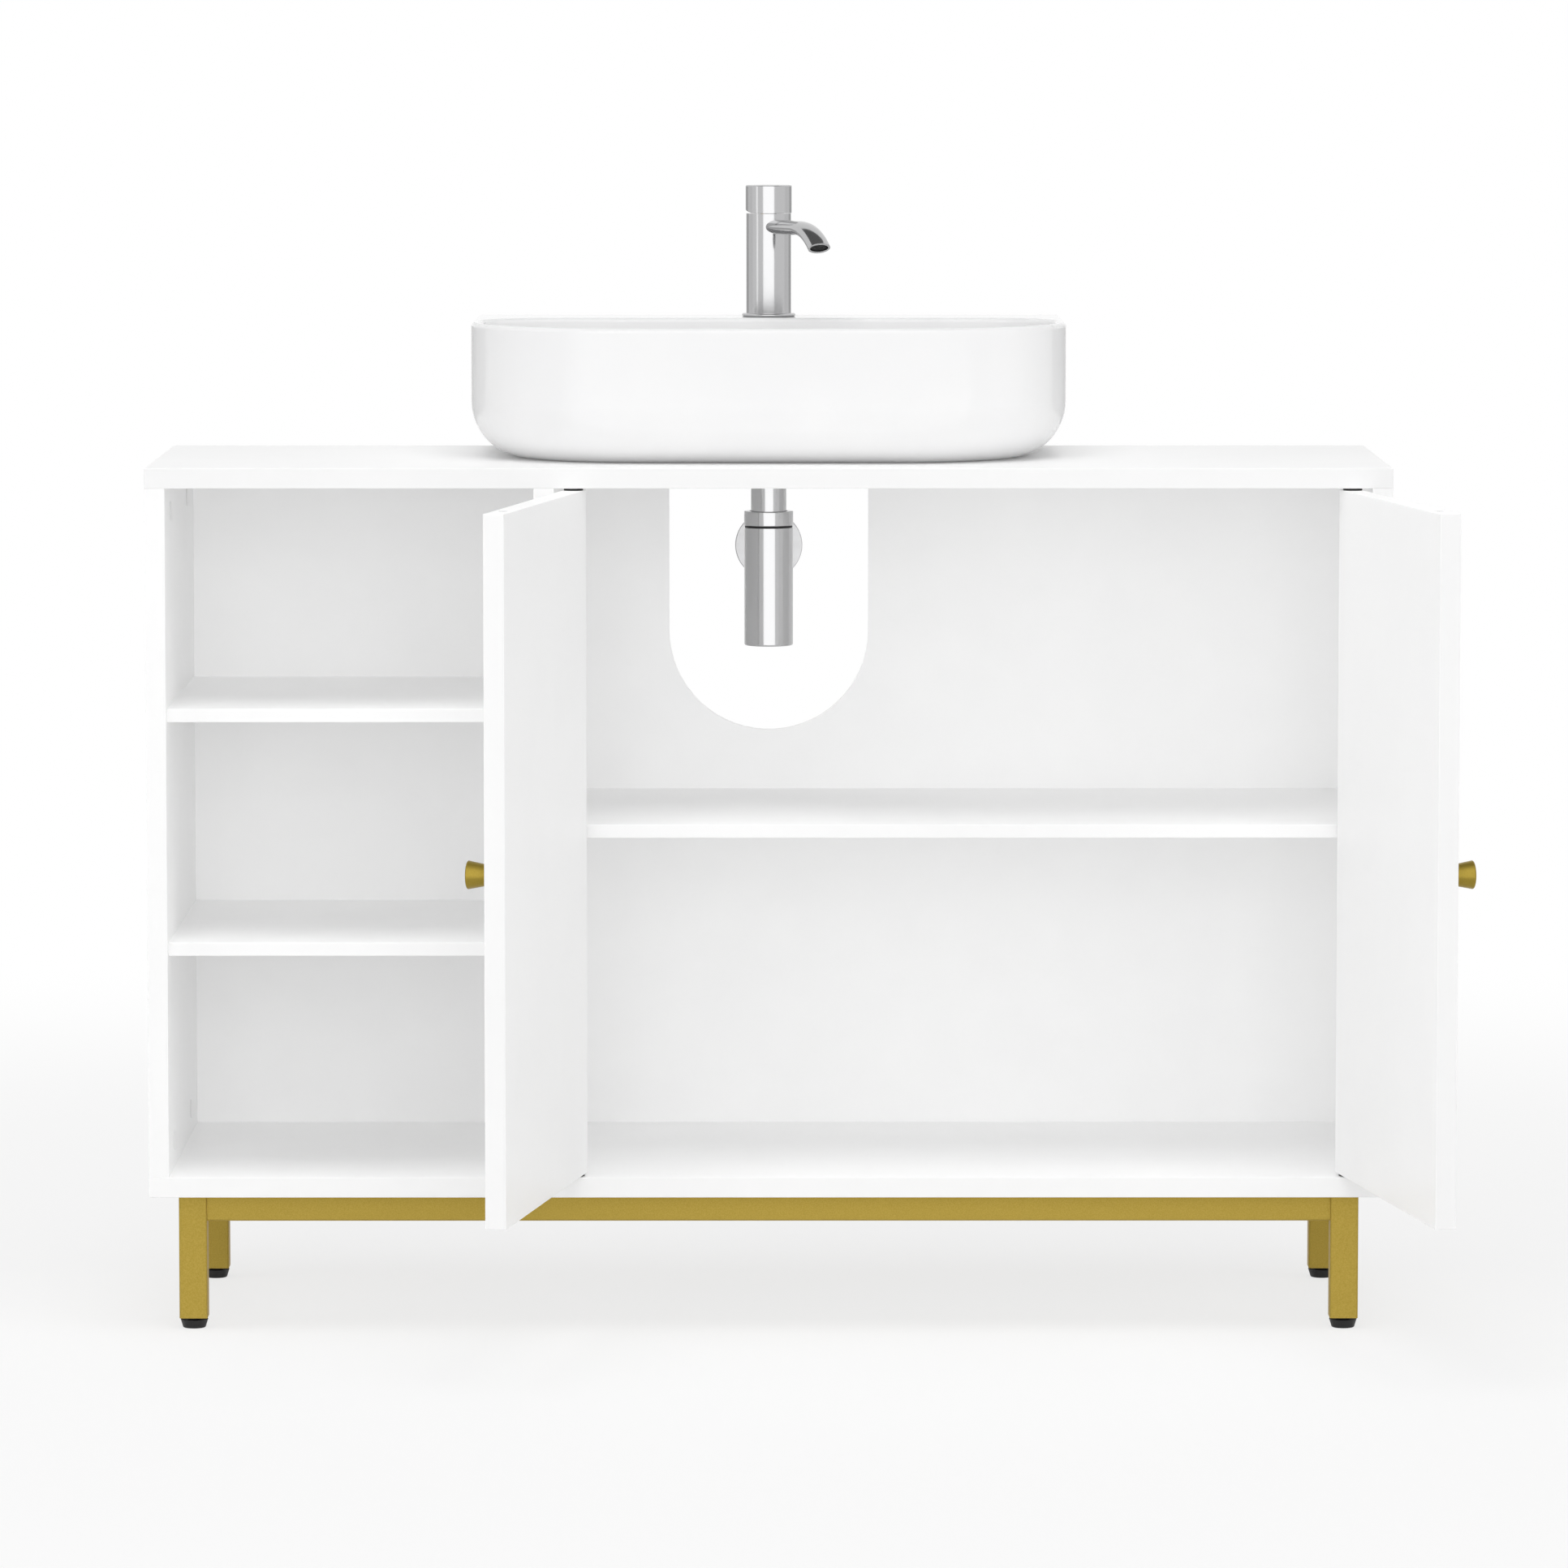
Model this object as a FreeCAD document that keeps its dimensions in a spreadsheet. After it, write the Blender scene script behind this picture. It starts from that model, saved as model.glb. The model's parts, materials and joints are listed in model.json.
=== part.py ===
"""A washbasin base cabinet: open bay and two-door bay on a tube base, with its basin, tap and trap.

The row frame: +X to the viewer's right, the front faces -Y, +Z up. The origin is on the floor, at the
centre of the cabinet's footprint. Lengths are in millimetres and angles in degrees.
"""
import FreeCAD
import Part
import Sketcher

import math
import os
import re

doc = FreeCAD.newDocument("WashbasinCabinet")
sheet = doc.addObject("Spreadsheet::Sheet", "Sizes")

SIZES = [
    # carcass
    ("unit_w", 1100, "overall width"),
    ("unit_d", 370, "overall depth"),
    ("board", 18, "thickness of the main boards and doors"),
    ("inner_high", 612, "clear height between the bottom and top panels"),
    ("left_bay", 325, "clear width of the open left bay"),
    ("thin", 12, "thickness of the shelves"),
    ("shelf_back_left", 16, "left shelves' distance behind the front"),
    ("shelf_back_right", 27, "right shelf's distance behind the front"),
    ("back_t", 4, "thickness of the back panel"),
    ("lap", 9, "width of the rebate that takes the back panel"),
    ("cutout_r", 92, "radius of the cut-out for the drain"),
    ("cutout_low", 245, "depth of the cut-out below the top panel"),
    ("arris", 0.6, "rounding of the boards' edges"),
    ("shoulder", 1, "rounding of the boards' edges beside the back panel"),
    ("waste_hole_r", 35, "radius of the hole for the waste"),
    ("hose_hole_r", 25, "radius of the hole for the tap's hoses"),
    # joints of the carcass
    ("dowel_r", 3, "radius of a dowel"),
    ("dowel_in", 12, "depth of a dowel in the board it stands in"),
    ("dowel_out", 16, "depth of a dowel in the end of the other board"),
    ("shelf_dowel", 12, "depth of a shelf dowel on each side"),
    ("dowel_front", 32, "dowel's distance from the front"),
    ("dowel_rear", 52, "dowel's distance from the back"),
    ("cam_front", 70, "cam's distance from the front"),
    ("cam_rear", 90, "cam's distance from the back"),
    ("cam_r", 7.5, "radius of a cam lock"),
    ("cam_deep", 12.5, "depth of a cam lock"),
    ("cam_reach", 24, "distance of a cam's centre from the joint"),
    ("bolt_r", 2.5, "radius of a cam bolt's shaft"),
    ("bolt_thread_r", 3, "radius of a cam bolt's thread"),
    ("bolt_thread", 11, "length of a cam bolt's thread"),
    ("bolt_head_r", 3.5, "radius of a cam bolt's head"),
    ("bolt_head", 4, "length of a cam bolt's head"),
    ("cam_bore_r", 4.2, "radius of the way for a cam bolt"),
    ("screw_r", 1.5, "radius of a back screw"),
    ("screw_long", 16, "length of a back screw"),
    ("screw_head_r", 3, "radius of a back screw's head"),
    ("screw_head", 1.5, "thickness of a back screw's head"),
    # doors
    ("door_w", 357, "width of a door"),
    ("door_gap", 2, "gap above and below a door"),
    ("pivot_edge", 14.5, "distance of the pivot from the door's hinge edge"),
    ("pivot_side", 17, "distance of the pivot from the board beside it"),
    ("door_round", 3, "rounding of the door's hinge edge"),
    ("door_open", 100, "how far the doors stand open"),
    ("pin_r", 4, "radius of a pivot pin"),
    ("pin_panel", 13, "length of a pivot pin in the panel"),
    ("pin_door", 12, "length of a pivot pin below the panel"),
    ("bush_bore_r", 4.05, "bore radius of a pivot bush"),
    ("bush_r", 6, "outer radius of a pivot bush"),
    ("bush_long", 14, "length of a pivot bush in the door"),
    ("flange_r", 8.5, "radius of a pivot bush's flange"),
    ("flange_t", 1.5, "thickness of a pivot bush's flange"),
    ("knob_edge", 32, "distance of the knob from the door's free edge"),
    ("knob_high", 299, "height of the knob's axis above the door's lower edge"),
    ("knob_long", 21, "length of a knob"),
    ("knob_small_r", 8.3, "knob's radius at the door"),
    ("knob_big_r", 12.4, "knob's radius at its outer end"),
    ("knob_round", 1, "rounding of the knob's outer edge"),
    ("stud_r", 2.5, "radius of a knob's stud"),
    ("stud_door", 13, "length of a knob's stud in the door"),
    ("stud_knob", 11, "length of a knob's stud in the knob"),
    ("magnet_r", 4, "radius of a door magnet"),
    ("magnet_t", 3, "thickness of a door magnet"),
    ("magnet_edge", 40, "distance of a magnet from the door's free edge"),
    # base
    ("tube", 25, "width of a leg's square tube"),
    ("wall", 1.5, "wall of the base's tubes"),
    ("tube_round", 2, "rounding of the base's tubes"),
    ("leg_long", 112.4, "length of a leg's tube"),
    ("leg_cap", 3, "thickness of the plate that closes a leg's top"),
    ("base_side", 24.5, "base's distance inside the cabinet's sides"),
    ("base_front", 25, "base's distance behind the cabinet's front"),
    ("base_d", 318, "depth of the base"),
    ("rail_d", 20, "thickness of a rail's tube"),
    ("rail_h", 25, "height of a rail's tube"),
    ("access_r", 5.5, "radius of the hole for a base screw's head"),
    ("base_screw_r", 2.5, "radius of a base screw"),
    ("base_screw_bite", 13, "length of a base screw in the bottom panel"),
    ("base_head_r", 4.75, "radius of a base screw's head"),
    ("base_head", 3, "height of a base screw's head"),
    ("insert_long", 25, "length of a leg's threaded insert"),
    ("insert_up", 0.1, "insert's distance above the end of the tube"),
    ("foot_bore_r", 4.05, "bore radius of an insert"),
    ("foot_stud_r", 4, "radius of a foot's stud"),
    ("foot_stud_low", 3, "height of the stud's lower end"),
    ("foot_stud_long", 36, "length of a foot's stud"),
    ("pad_high", 7.6, "height of a foot's tapered pad"),
    ("pad_low_r", 10, "pad's radius at the floor"),
    ("pad_top_r", 12.3, "pad's radius at its top"),
    ("pad_round", 1.4, "rounding of the pad's lower edge"),
    ("hub_high", 2, "height of the foot's hub above the pad"),
    ("hub_r", 6, "radius of the foot's hub"),
    # basin
    ("basin_w", 537, "width of the basin"),
    ("basin_d", 330, "depth of the basin"),
    ("basin_h", 121, "height of the basin"),
    ("basin_corner", 155, "radius of the basin's front corners"),
    ("basin_under", 50, "radius of the basin's lower edge"),
    ("basin_rim", 4, "rounding of the basin's rim"),
    ("basin_wall", 10, "thickness of the basin's rim"),
    ("deck_d", 82, "depth of the tap deck"),
    ("deck_t", 14, "thickness of the tap deck"),
    ("bowl_deep", 92, "depth of the bowl"),
    ("bowl_corner", 60, "radius of the bowl's rear corners"),
    ("bowl_under", 38, "radius of the bowl's lower edge"),
    ("dish_r", 64, "radius of the bowl's sloped floor"),
    ("dish_deep", 4, "fall of the bowl's floor to the waste"),
    ("dish_flat_r", 34, "radius of the flat round the waste"),
    ("foot_ring", 62, "foot ring's distance inside the basin's sides"),
    ("recess_deep", 10, "depth of the recess under the basin"),
    ("recess_corner", 20, "radius of that recess's rear corners"),
    ("hollow_w", 400, "width of the hollow under the tap deck"),
    ("hollow_wall", 10, "wall between the bowl and that hollow"),
    # waste and trap
    ("waste_y", 0, "waste's place front to back"),
    ("basin_hole_r", 23, "radius of the hole in the basin"),
    ("waste_r", 22.5, "outer radius of the waste's thread"),
    ("waste_low", 757, "height of the waste's lower end"),
    ("waste_flange_r", 31.5, "radius of the waste's flange"),
    ("waste_flange_t", 2.5, "thickness of the waste's flange"),
    ("waste_bore_r", 19, "radius of the waste's upper bore"),
    ("waste_step", 778, "height at which the waste's bore narrows"),
    ("spider_t", 3, "thickness of the waste's crossbar"),
    ("spider_w", 5, "width of the waste's crossbar"),
    ("spider_hub_r", 6.5, "radius of the crossbar's hub"),
    ("plug_stem_r", 3, "radius of the plug's stem"),
    ("plug_bore_r", 3.05, "radius of the hole for the plug's stem"),
    ("plug_stem", 30, "length of the plug's stem"),
    ("plug_r", 18.5, "radius of the plug"),
    ("plug_t", 4, "thickness of the plug"),
    ("nut_r", 31, "radius to the corners of the waste's nut"),
    ("nut_t", 9, "thickness of the waste's nut"),
    ("pipe_r", 16, "outer radius of the drain pipes"),
    ("pipe_bore_r", 14.5, "bore radius of the drain pipes"),
    ("tail_top", 776, "height of the tailpiece's upper end"),
    ("tail_low", 640, "height of the tailpiece's lower end"),
    ("collar_low", 708, "height of the collar nut's lower face"),
    ("collar_top", 721, "height of the collar nut's upper face"),
    ("collar_r", 22.2, "radius of the collar nut"),
    ("collar_round", 0.8, "rounding of the collar nut"),
    ("collar_gap", 1.2, "width of the groove between the collar nut and the tailpiece"),
    ("collar_groove", 3, "depth of that groove"),
    ("cup_low", 599.5, "height of the trap cup's lower end"),
    ("cup_top", 706, "height of the trap cup's shoulder"),
    ("cup_r", 22, "radius of the trap cup"),
    ("cup_wall", 1.6, "wall of the trap cup"),
    ("cup_neck_r", 20.5, "radius of the neck above the cup's shoulder"),
    ("outlet_z", 678, "height of the outlet pipe"),
    ("outlet_start", 17, "start of the outlet pipe from the cup's axis"),
    ("wall_flange_r", 31, "radius of the wall flange"),
    ("wall_flange_t", 6, "thickness of the wall flange"),
    ("wall_flange_edge", 1.5, "thickness of the wall flange at its edge"),
    # tap
    ("tap_y", 145, "tap's place front to back"),
    ("tap_turn", 25, "angle of the spout to the viewer's right"),
    ("tap_hole_r", 17.5, "radius of the tap hole"),
    ("ring_r", 24.5, "radius of the tap's base ring"),
    ("ring_t", 3, "thickness of the tap's base ring"),
    ("tap_r", 20.6, "radius of the tap's body"),
    ("tap_high", 94.3, "height of the tap's body above the deck"),
    ("cartridge_r", 14.5, "radius of the cartridge"),
    ("cartridge_long", 36, "length of the cartridge"),
    ("cartridge_down", 4, "cartridge's distance below the body's top"),
    ("shank_r", 14, "radius of the tap's shank"),
    ("shank_long", 46, "length of the tap's shank below the deck"),
    ("inlet_r", 4.25, "radius of a supply inlet"),
    ("inlet_deep", 14, "depth of a supply inlet"),
    ("inlet_off", 7, "supply inlet's distance from the tap's axis"),
    ("fix_r", 24, "radius of the tap's fixing nut"),
    ("fix_t", 10, "thickness of the tap's fixing nut"),
    ("spout_down", 12, "spout's distance below the body's top"),
    ("spout_wide", 22, "width of the spout"),
    ("spout_thick", 13, "thickness of the spout"),
    ("spout_wall", 2, "wall of the spout"),
    ("spout_start", 15.8, "start of the spout from the tap's axis"),
    ("spout_bend", 66, "start of the spout's bend from the tap's axis"),
    ("spout_radius", 61, "radius of the spout's bend"),
    ("spout_angle", 44, "angle of the spout's bend"),
    ("outlet_in", 1.5, "outlet insert's distance inside the spout"),
    ("outlet_t", 4, "thickness of the outlet insert"),
    ("outlet_gap", 0.3, "gap round the outlet insert"),
    ("handle_r", 21.2, "radius of the handle"),
    ("handle_gap", 0.4, "gap between the body and the handle"),
    ("handle_high", 25.4, "height of the handle"),
    ("handle_wall", 3, "wall of the handle"),
    ("handle_round", 1, "rounding of the handle's top edge"),
    ("relief_front", 6.5, "start of the handle's relief in front of its axis"),
    ("relief_angle", 13, "slope of the handle's relief"),
    ("relief_block", 12, "height of the block that cuts the relief"),
    ("stem_low", 2.4, "stem's reach below the tilt pin"),
    ("tilt_up", 1.4, "tilt pin's height above the body's top"),
    ("spindle_r", 6, "radius of the cartridge's spindle"),
    ("spindle_bore_r", 6.05, "radius of the spindle's bore"),
    ("spindle_in", 10, "depth of the spindle in the cartridge"),
    ("turret_r", 9, "radius of the spindle's turret"),
    ("turret_t", 1.5, "thickness of the spindle's turret"),
    ("ear_t", 2.5, "thickness of the spindle's ears"),
    ("ear_w", 6, "width of the spindle's ears"),
    ("stem_w", 7.8, "width of the handle's stem"),
    ("ear_gap", 8, "gap between the spindle's ears"),
    ("tilt_pin_r", 1.5, "radius of the tilt pin"),
    ("tilt_bore_r", 1.55, "radius of the tilt pin's bore"),
]

for row, (alias, value, meaning) in enumerate(SIZES, 1):
    sheet.set(f"A{row}", meaning)
    sheet.set(f"B{row}", str(value))
    sheet.setAlias(f"B{row}", alias)
doc.recompute()

ALIASES = {alias for alias, _, _ in SIZES}

# Places that follow from the sizes, as text for the expressions
X_LEFT, Y_FRONT, Y_BACK = "(-unit_w / 2)", "(-unit_d / 2)", "(unit_d / 2)"
TUBE_END = "(pad_high + hub_high)"
UNDERSIDE = f"({TUBE_END} + leg_long)"
FLOOR = f"({UNDERSIDE} + board)"
CEILING = f"({FLOOR} + inner_high)"
WORKTOP = f"({CEILING} + board)"
DIVIDER = f"({X_LEFT} + board + left_bay)"
RIGHT_BAY = f"({DIVIDER} + board)"
RIGHT_SIDE = "(unit_w / 2 - board)"
BACK_FACE = f"({Y_BACK} - back_t)"
LEFT_GAP = "((inner_high - 2 * thin) / 3)"
DECK = f"({WORKTOP} + basin_h)"
BOWL_FLOOR = f"({DECK} - bowl_deep - dish_deep)"
DOOR_LOW = f"({FLOOR} + door_gap)"
DOOR_H = "(inner_high - 2 * door_gap)"
PIVOT_Y = f"({Y_FRONT} + board / 2)"
PIVOTS = {"left": f"({RIGHT_BAY} + pivot_side)", "right": f"({RIGHT_SIDE} - pivot_side)"}

# Turns that aim a cylinder's or a cone's axis
UP = FreeCAD.Rotation()
TO_X = FreeCAD.Rotation(FreeCAD.Vector(0, 1, 0), 90)
TO_MINUS_X = FreeCAD.Rotation(FreeCAD.Vector(0, 1, 0), -90)
TO_Y = FreeCAD.Rotation(FreeCAD.Vector(1, 0, 0), -90)
TO_MINUS_Y = FreeCAD.Rotation(FreeCAD.Vector(1, 0, 0), 90)
DOWN = FreeCAD.Rotation(FreeCAD.Vector(1, 0, 0), 180)

subparts = []


def bound(text):
    """The text of a size with each cell named in full."""
    return re.sub(r"[a-z_]+", lambda m: "Sizes." + m.group() if m.group() in ALIASES else m.group(), text)


def number(text):
    """The value of a size's text, in millimetres or degrees."""
    return float(sheet.evalExpression(bound(text)))


def place(item, at, turn=UP):
    """Put an object at a place given as text, turned as stated."""
    item.Placement = FreeCAD.Placement(FreeCAD.Vector(), turn)
    for axis, text in zip("xyz", at):
        item.setExpression(f"Placement.Base.{axis}", bound(text))


def feature(body, kind, at=("0", "0", "0"), turn=UP, **lengths):
    """An additive or subtractive primitive of a body."""
    item = body.newObject("PartDesign::" + kind, kind)
    for name, text in lengths.items():
        item.setExpression(name, bound(text))
    place(item, at, turn)
    return item


def new_body(label):
    """A body that becomes the node of that name."""
    body = doc.addObject("PartDesign::Body", label)
    body.Label = label
    subparts.append(body)
    return body


def box(body, at, size, cut=False):
    """Add or cut a block, from its low corner."""
    kind = "SubtractiveBox" if cut else "AdditiveBox"
    return feature(body, kind, at, Length=size[0], Width=size[1], Height=size[2])


def rod(body, at, radius, long, turn=UP, cut=False):
    """Add or cut a cylinder, from the centre of its first end."""
    kind = "SubtractiveCylinder" if cut else "AdditiveCylinder"
    return feature(body, kind, at, turn, Radius=radius, Height=long)


def drill(body, at, radius, deep, turn=UP):
    """Cut a round hole."""
    return rod(body, at, radius, deep, turn, cut=True)


def round_edges(body, radius, chosen):
    """Round the edges of a body that the test chooses."""
    doc.recompute()
    base = body.Tip
    edges = [f"Edge{i}" for i, edge in enumerate(base.Shape.Edges, 1) if chosen(edge)]
    item = body.newObject("PartDesign::Fillet", "Rounding")
    item.Base = (base, edges)
    item.setExpression("Radius", bound(radius))
    doc.recompute()
    return item


def level(edge, z):
    """Does the edge lie at the height z?"""
    box_of = edge.BoundBox
    return abs(box_of.ZMin - z) < 0.01 and abs(box_of.ZMax - z) < 0.01


def behind(edge, depth):
    """Does the edge lie in the upright plane at the depth given as text?"""
    box_of, y = edge.BoundBox, number(depth)
    return abs(box_of.YMin - y) < 0.01 and abs(box_of.YMax - y) < 0.01


def sketch_on(body, plane, name="Outline"):
    """A sketch on one of the body's own origin planes."""
    sketch = body.newObject("Sketcher::SketchObject", name)
    support = [item for item in body.Origin.OriginFeatures if item.Role == plane][0]
    sketch.AttachmentSupport = [(support, "")]
    sketch.MapMode = "FlatFace"
    return sketch


def polygon(sketch, points):
    """A closed outline through points given as text, each tied to its place."""
    ends = [FreeCAD.Vector(number(x), number(y), 0) for x, y in points]
    for i, start in enumerate(ends):
        sketch.addGeometry(Part.LineSegment(start, ends[(i + 1) % len(ends)]), False)
    for i in range(len(ends)):
        sketch.addConstraint(Sketcher.Constraint("Coincident", i, 2, (i + 1) % len(ends), 1))
    for i, texts in enumerate(points):
        for kind, axis, text, value in zip(("DistanceX", "DistanceY"), (-2, -1), texts, ends[i]):
            if abs(value) < 1e-9:
                sketch.addConstraint(Sketcher.Constraint("PointOnObject", i, 1, axis))
                continue
            index = sketch.addConstraint(Sketcher.Constraint(kind, -1, 1, i, 1, value))
            sketch.setExpression(f"Constraints[{index}]", bound(text))


def rounded_pocket(body, top, deep, outline, radii):
    """Cut down from a level an outline (half width, front, back) with its front and back corners rounded."""
    half, front, back = (number(text) for text in outline)
    front_r, back_r = (number(text) for text in radii)
    sketch = sketch_on(body, "XY_Plane")
    sketch.AttachmentOffset = FreeCAD.Placement(FreeCAD.Vector(0, 0, number(top)), UP)
    corners = [(half - front_r, front + front_r, front_r), (half - back_r, back - back_r, back_r),
               (back_r - half, back - back_r, back_r), (front_r - half, front + front_r, front_r)]
    for i, (x, y, radius) in enumerate(corners):
        circle = Part.Circle(FreeCAD.Vector(x, y, 0), FreeCAD.Vector(0, 0, 1), radius)
        arc = Part.ArcOfCircle(circle, math.radians(90 * i - 90), math.radians(90 * i))
        sketch.addGeometry(arc, False)
        corners[i] = (arc.StartPoint, arc.EndPoint)
    for i in range(4):
        sketch.addGeometry(Part.LineSegment(corners[i][1], corners[(i + 1) % 4][0]), False)
    pocket = body.newObject("PartDesign::Pocket", "Pocket")
    pocket.Profile = sketch
    pocket.setExpression("Length", bound(deep))
    doc.recompute()


def turned(label, points, at=("0", "0", "0"), turn=UP):
    """A body turned about its upright axis from a half outline of (radius, height) points."""
    body = new_body(label)
    sketch = sketch_on(body, "XZ_Plane")
    polygon(sketch, points)
    lathe = body.newObject("PartDesign::Revolution", "Turning")
    lathe.Profile = sketch
    lathe.ReferenceAxis = (sketch, ["V_Axis"])
    lathe.Angle = 360
    place(body, at, turn)
    doc.recompute()
    return body


def group(label, solids):
    """Separate solids that share one node."""
    item = doc.addObject("Part::Compound", label)
    item.Label = label
    item.Links = solids
    subparts.append(item)
    return item


def pin(at, radius, long, turn=UP):
    """A plain cylinder for a group or a boolean."""
    item = doc.addObject("Part::Cylinder", "Pin")
    item.setExpression("Radius", bound(radius))
    item.setExpression("Height", bound(long))
    place(item, at, turn)
    return item


def joined(parts):
    """Several objects fused into one solid."""
    item = doc.addObject("Part::MultiFuse", "Joined")
    item.Shapes = parts
    return item


def less(base, tool):
    """One object cut by another."""
    item = doc.addObject("Part::Cut", "Less")
    item.Base, item.Tool = base, tool
    return item


# Carcass: where its boards meet

UPRIGHTS = {
    "side_left": (X_LEFT, f"({X_LEFT} + board)", TO_MINUS_X),
    "divider": (DIVIDER, DIVIDER, TO_X),
    "side_right": (RIGHT_SIDE, RIGHT_SIDE, TO_X),
}
DOWEL_ROWS = (f"({Y_FRONT} + dowel_front)", f"({Y_BACK} - dowel_rear)")
CAM_ROWS = (f"({Y_FRONT} + cam_front)", f"({Y_BACK} - cam_rear)")
ENDS = {"top": (CEILING, UP, DOWN, -1), "bottom": (FLOOR, DOWN, UP, 1)}
SHELVES = {
    "shelf_left_lower": (f"({X_LEFT} + board)", "left_bay", "shelf_back_left", f"({FLOOR} + {LEFT_GAP})"),
    "shelf_left_upper": (
        f"({X_LEFT} + board)", "left_bay", "shelf_back_left", f"({FLOOR} + 2 * {LEFT_GAP} + thin)"
    ),
    "shelf_right": (
        RIGHT_BAY, f"({RIGHT_SIDE} - {RIGHT_BAY})", "shelf_back_right",
        f"({FLOOR} + (inner_high - thin) / 2)"
    ),
}
SCREW_COLUMNS = [f"(unit_w * {part})" for part in (-0.4, -0.27, -0.12, 0.12, 0.27, 0.4)]
SCREW_LEVELS = [f"({FLOOR} + inner_high * {part})" for part in (0.2, 0.5, 0.8)]
BACK_SCREWS = (
    [("top_panel", x, f"({CEILING} + lap / 2)") for x in SCREW_COLUMNS]
    + [("bottom_panel", x, f"({FLOOR} - lap / 2)") for x in SCREW_COLUMNS]
    + [("side_left", f"({X_LEFT} + board - lap / 2)", z) for z in SCREW_LEVELS]
    + [("divider", f"({DIVIDER} + board / 2)", z) for z in SCREW_LEVELS]
    + [("side_right", f"({RIGHT_SIDE} + lap / 2)", z) for z in SCREW_LEVELS]
)
BASE_SCREWS = [f"(unit_w * {part})" for part in (-0.38, -0.15, 0.15, 0.38)]
BASE_ROWS = (
    f"({Y_FRONT} + base_front + tube / 2)",
    f"({Y_FRONT} + base_front + base_d - tube / 2)",
)
SIDES = {"left": 1, "right": -1}


def upright_middle(name):
    """The middle of an upright board's thickness."""
    return f"({UPRIGHTS[name][0]} + board / 2)"


def drill_back_screws(body, name):
    """Pilot holes for the screws that hold the back panel."""
    for board_name, x, z in BACK_SCREWS:
        if board_name == name:
            drill(body, (x, BACK_FACE, z), "screw_r", "screw_long - back_t", TO_MINUS_Y)


def across_panel(name, z_low, end):
    """The top or the bottom panel, with its holes for what stands on it or hangs below it."""
    body = new_body(name)
    box(body, (X_LEFT, Y_FRONT, z_low), ("unit_w", "unit_d", "board"))
    round_edges(body, "arris", lambda edge: True)
    joint, into_panel, _, _ = ENDS[end]
    rebate_z = CEILING if end == "top" else f"({FLOOR} - lap)"
    box(body, (f"({X_LEFT} + board - lap)", BACK_FACE, rebate_z),
        ("unit_w - 2 * board + 2 * lap", "back_t", "lap"), cut=True)
    round_edges(body, "shoulder", lambda edge: level(edge, number(joint)) and behind(edge, BACK_FACE))
    for upright in UPRIGHTS:
        for y in DOWEL_ROWS:
            drill(body, (upright_middle(upright), y, joint), "dowel_r", "dowel_in", into_panel)
        for y in CAM_ROWS:
            drill(body, (upright_middle(upright), y, joint), "bolt_thread_r", "bolt_thread", into_panel)
    for x in PIVOTS.values():
        drill(body, (x, PIVOT_Y, joint), "pin_r", "pin_panel", into_panel)
    drill_back_screws(body, name)
    return body


def magnet_x(side):
    """Where a door's magnet is when the door is shut."""
    return f"({PIVOTS[side]} + {SIDES[side]} * (door_w - pivot_edge - magnet_edge))"


def top_panel():
    body = across_panel("top_panel", CEILING, "top")
    drill(body, ("0", "waste_y", CEILING), "waste_hole_r", "board")
    drill(body, ("0", "tap_y", CEILING), "hose_hole_r", "board")
    for side in SIDES:
        drill(body, (magnet_x(side), PIVOT_Y, CEILING), "magnet_r", "magnet_t")


def bottom_panel():
    body = across_panel("bottom_panel", UNDERSIDE, "bottom")
    for y in BASE_ROWS:
        for x in BASE_SCREWS:
            drill(body, (x, y, UNDERSIDE), "base_screw_r", "base_screw_bite")


def upright(name):
    """A side or the divider, between the top and bottom panels."""
    body = new_body(name)
    low_x, cam_face, cam_turn = UPRIGHTS[name]
    depth = f"{BACK_FACE} - {Y_FRONT}" if name == "divider" else "unit_d"
    box(body, (low_x, Y_FRONT, FLOOR), ("board", depth, "inner_high"))
    round_edges(body, "arris", lambda edge: edge.BoundBox.ZLength > 1)
    if name != "divider":
        rebate_x = low_x if name == "side_right" else f"({X_LEFT} + board - lap)"
        box(body, (rebate_x, BACK_FACE, FLOOR), ("lap", "back_t", "inner_high"), cut=True)
        inner_x = abs(number(RIGHT_SIDE))
        round_edges(body, "shoulder", lambda edge: edge.BoundBox.ZLength > 1 and behind(edge, BACK_FACE)
                    and abs(abs(edge.BoundBox.XMax) - inner_x) < 0.01)
    middle = upright_middle(name)
    for joint, _, into_upright, away in ENDS.values():
        for y in DOWEL_ROWS:
            drill(body, (middle, y, joint), "dowel_r", "dowel_out", into_upright)
        for y in CAM_ROWS:
            drill(body, (middle, y, joint), "cam_bore_r", "cam_reach", into_upright)
            drill(body, (cam_face, y, f"({joint} + {away} * cam_reach)"), "cam_r", "cam_deep", cam_turn)
    for shelf, (shelf_x, shelf_w, _, shelf_z) in SHELVES.items():
        for face, turn in ((shelf_x, TO_MINUS_X), (f"({shelf_x} + {shelf_w})", TO_X)):
            if abs(number(face) - number(middle)) < number("board"):
                for y in CAM_ROWS:
                    drill(body, (face, y, f"({shelf_z} + thin / 2)"), "dowel_r", "shelf_dowel", turn)
    drill_back_screws(body, name)


def shelf(name):
    """A fixed shelf on dowels."""
    body = new_body(name)
    low_x, wide, setback, z = SHELVES[name]
    front = f"({Y_FRONT} + {setback})"
    box(body, (low_x, front, z), (wide, f"({BACK_FACE} - {front})", "thin"))
    round_edges(body, "arris", lambda edge: behind(edge, front) and edge.BoundBox.XLength > 1)
    for y in CAM_ROWS:
        drill(body, (low_x, y, f"({z} + thin / 2)"), "dowel_r", "shelf_dowel", TO_X)
        drill(body, (f"({low_x} + {wide})", y, f"({z} + thin / 2)"), "dowel_r", "shelf_dowel", TO_MINUS_X)


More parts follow.
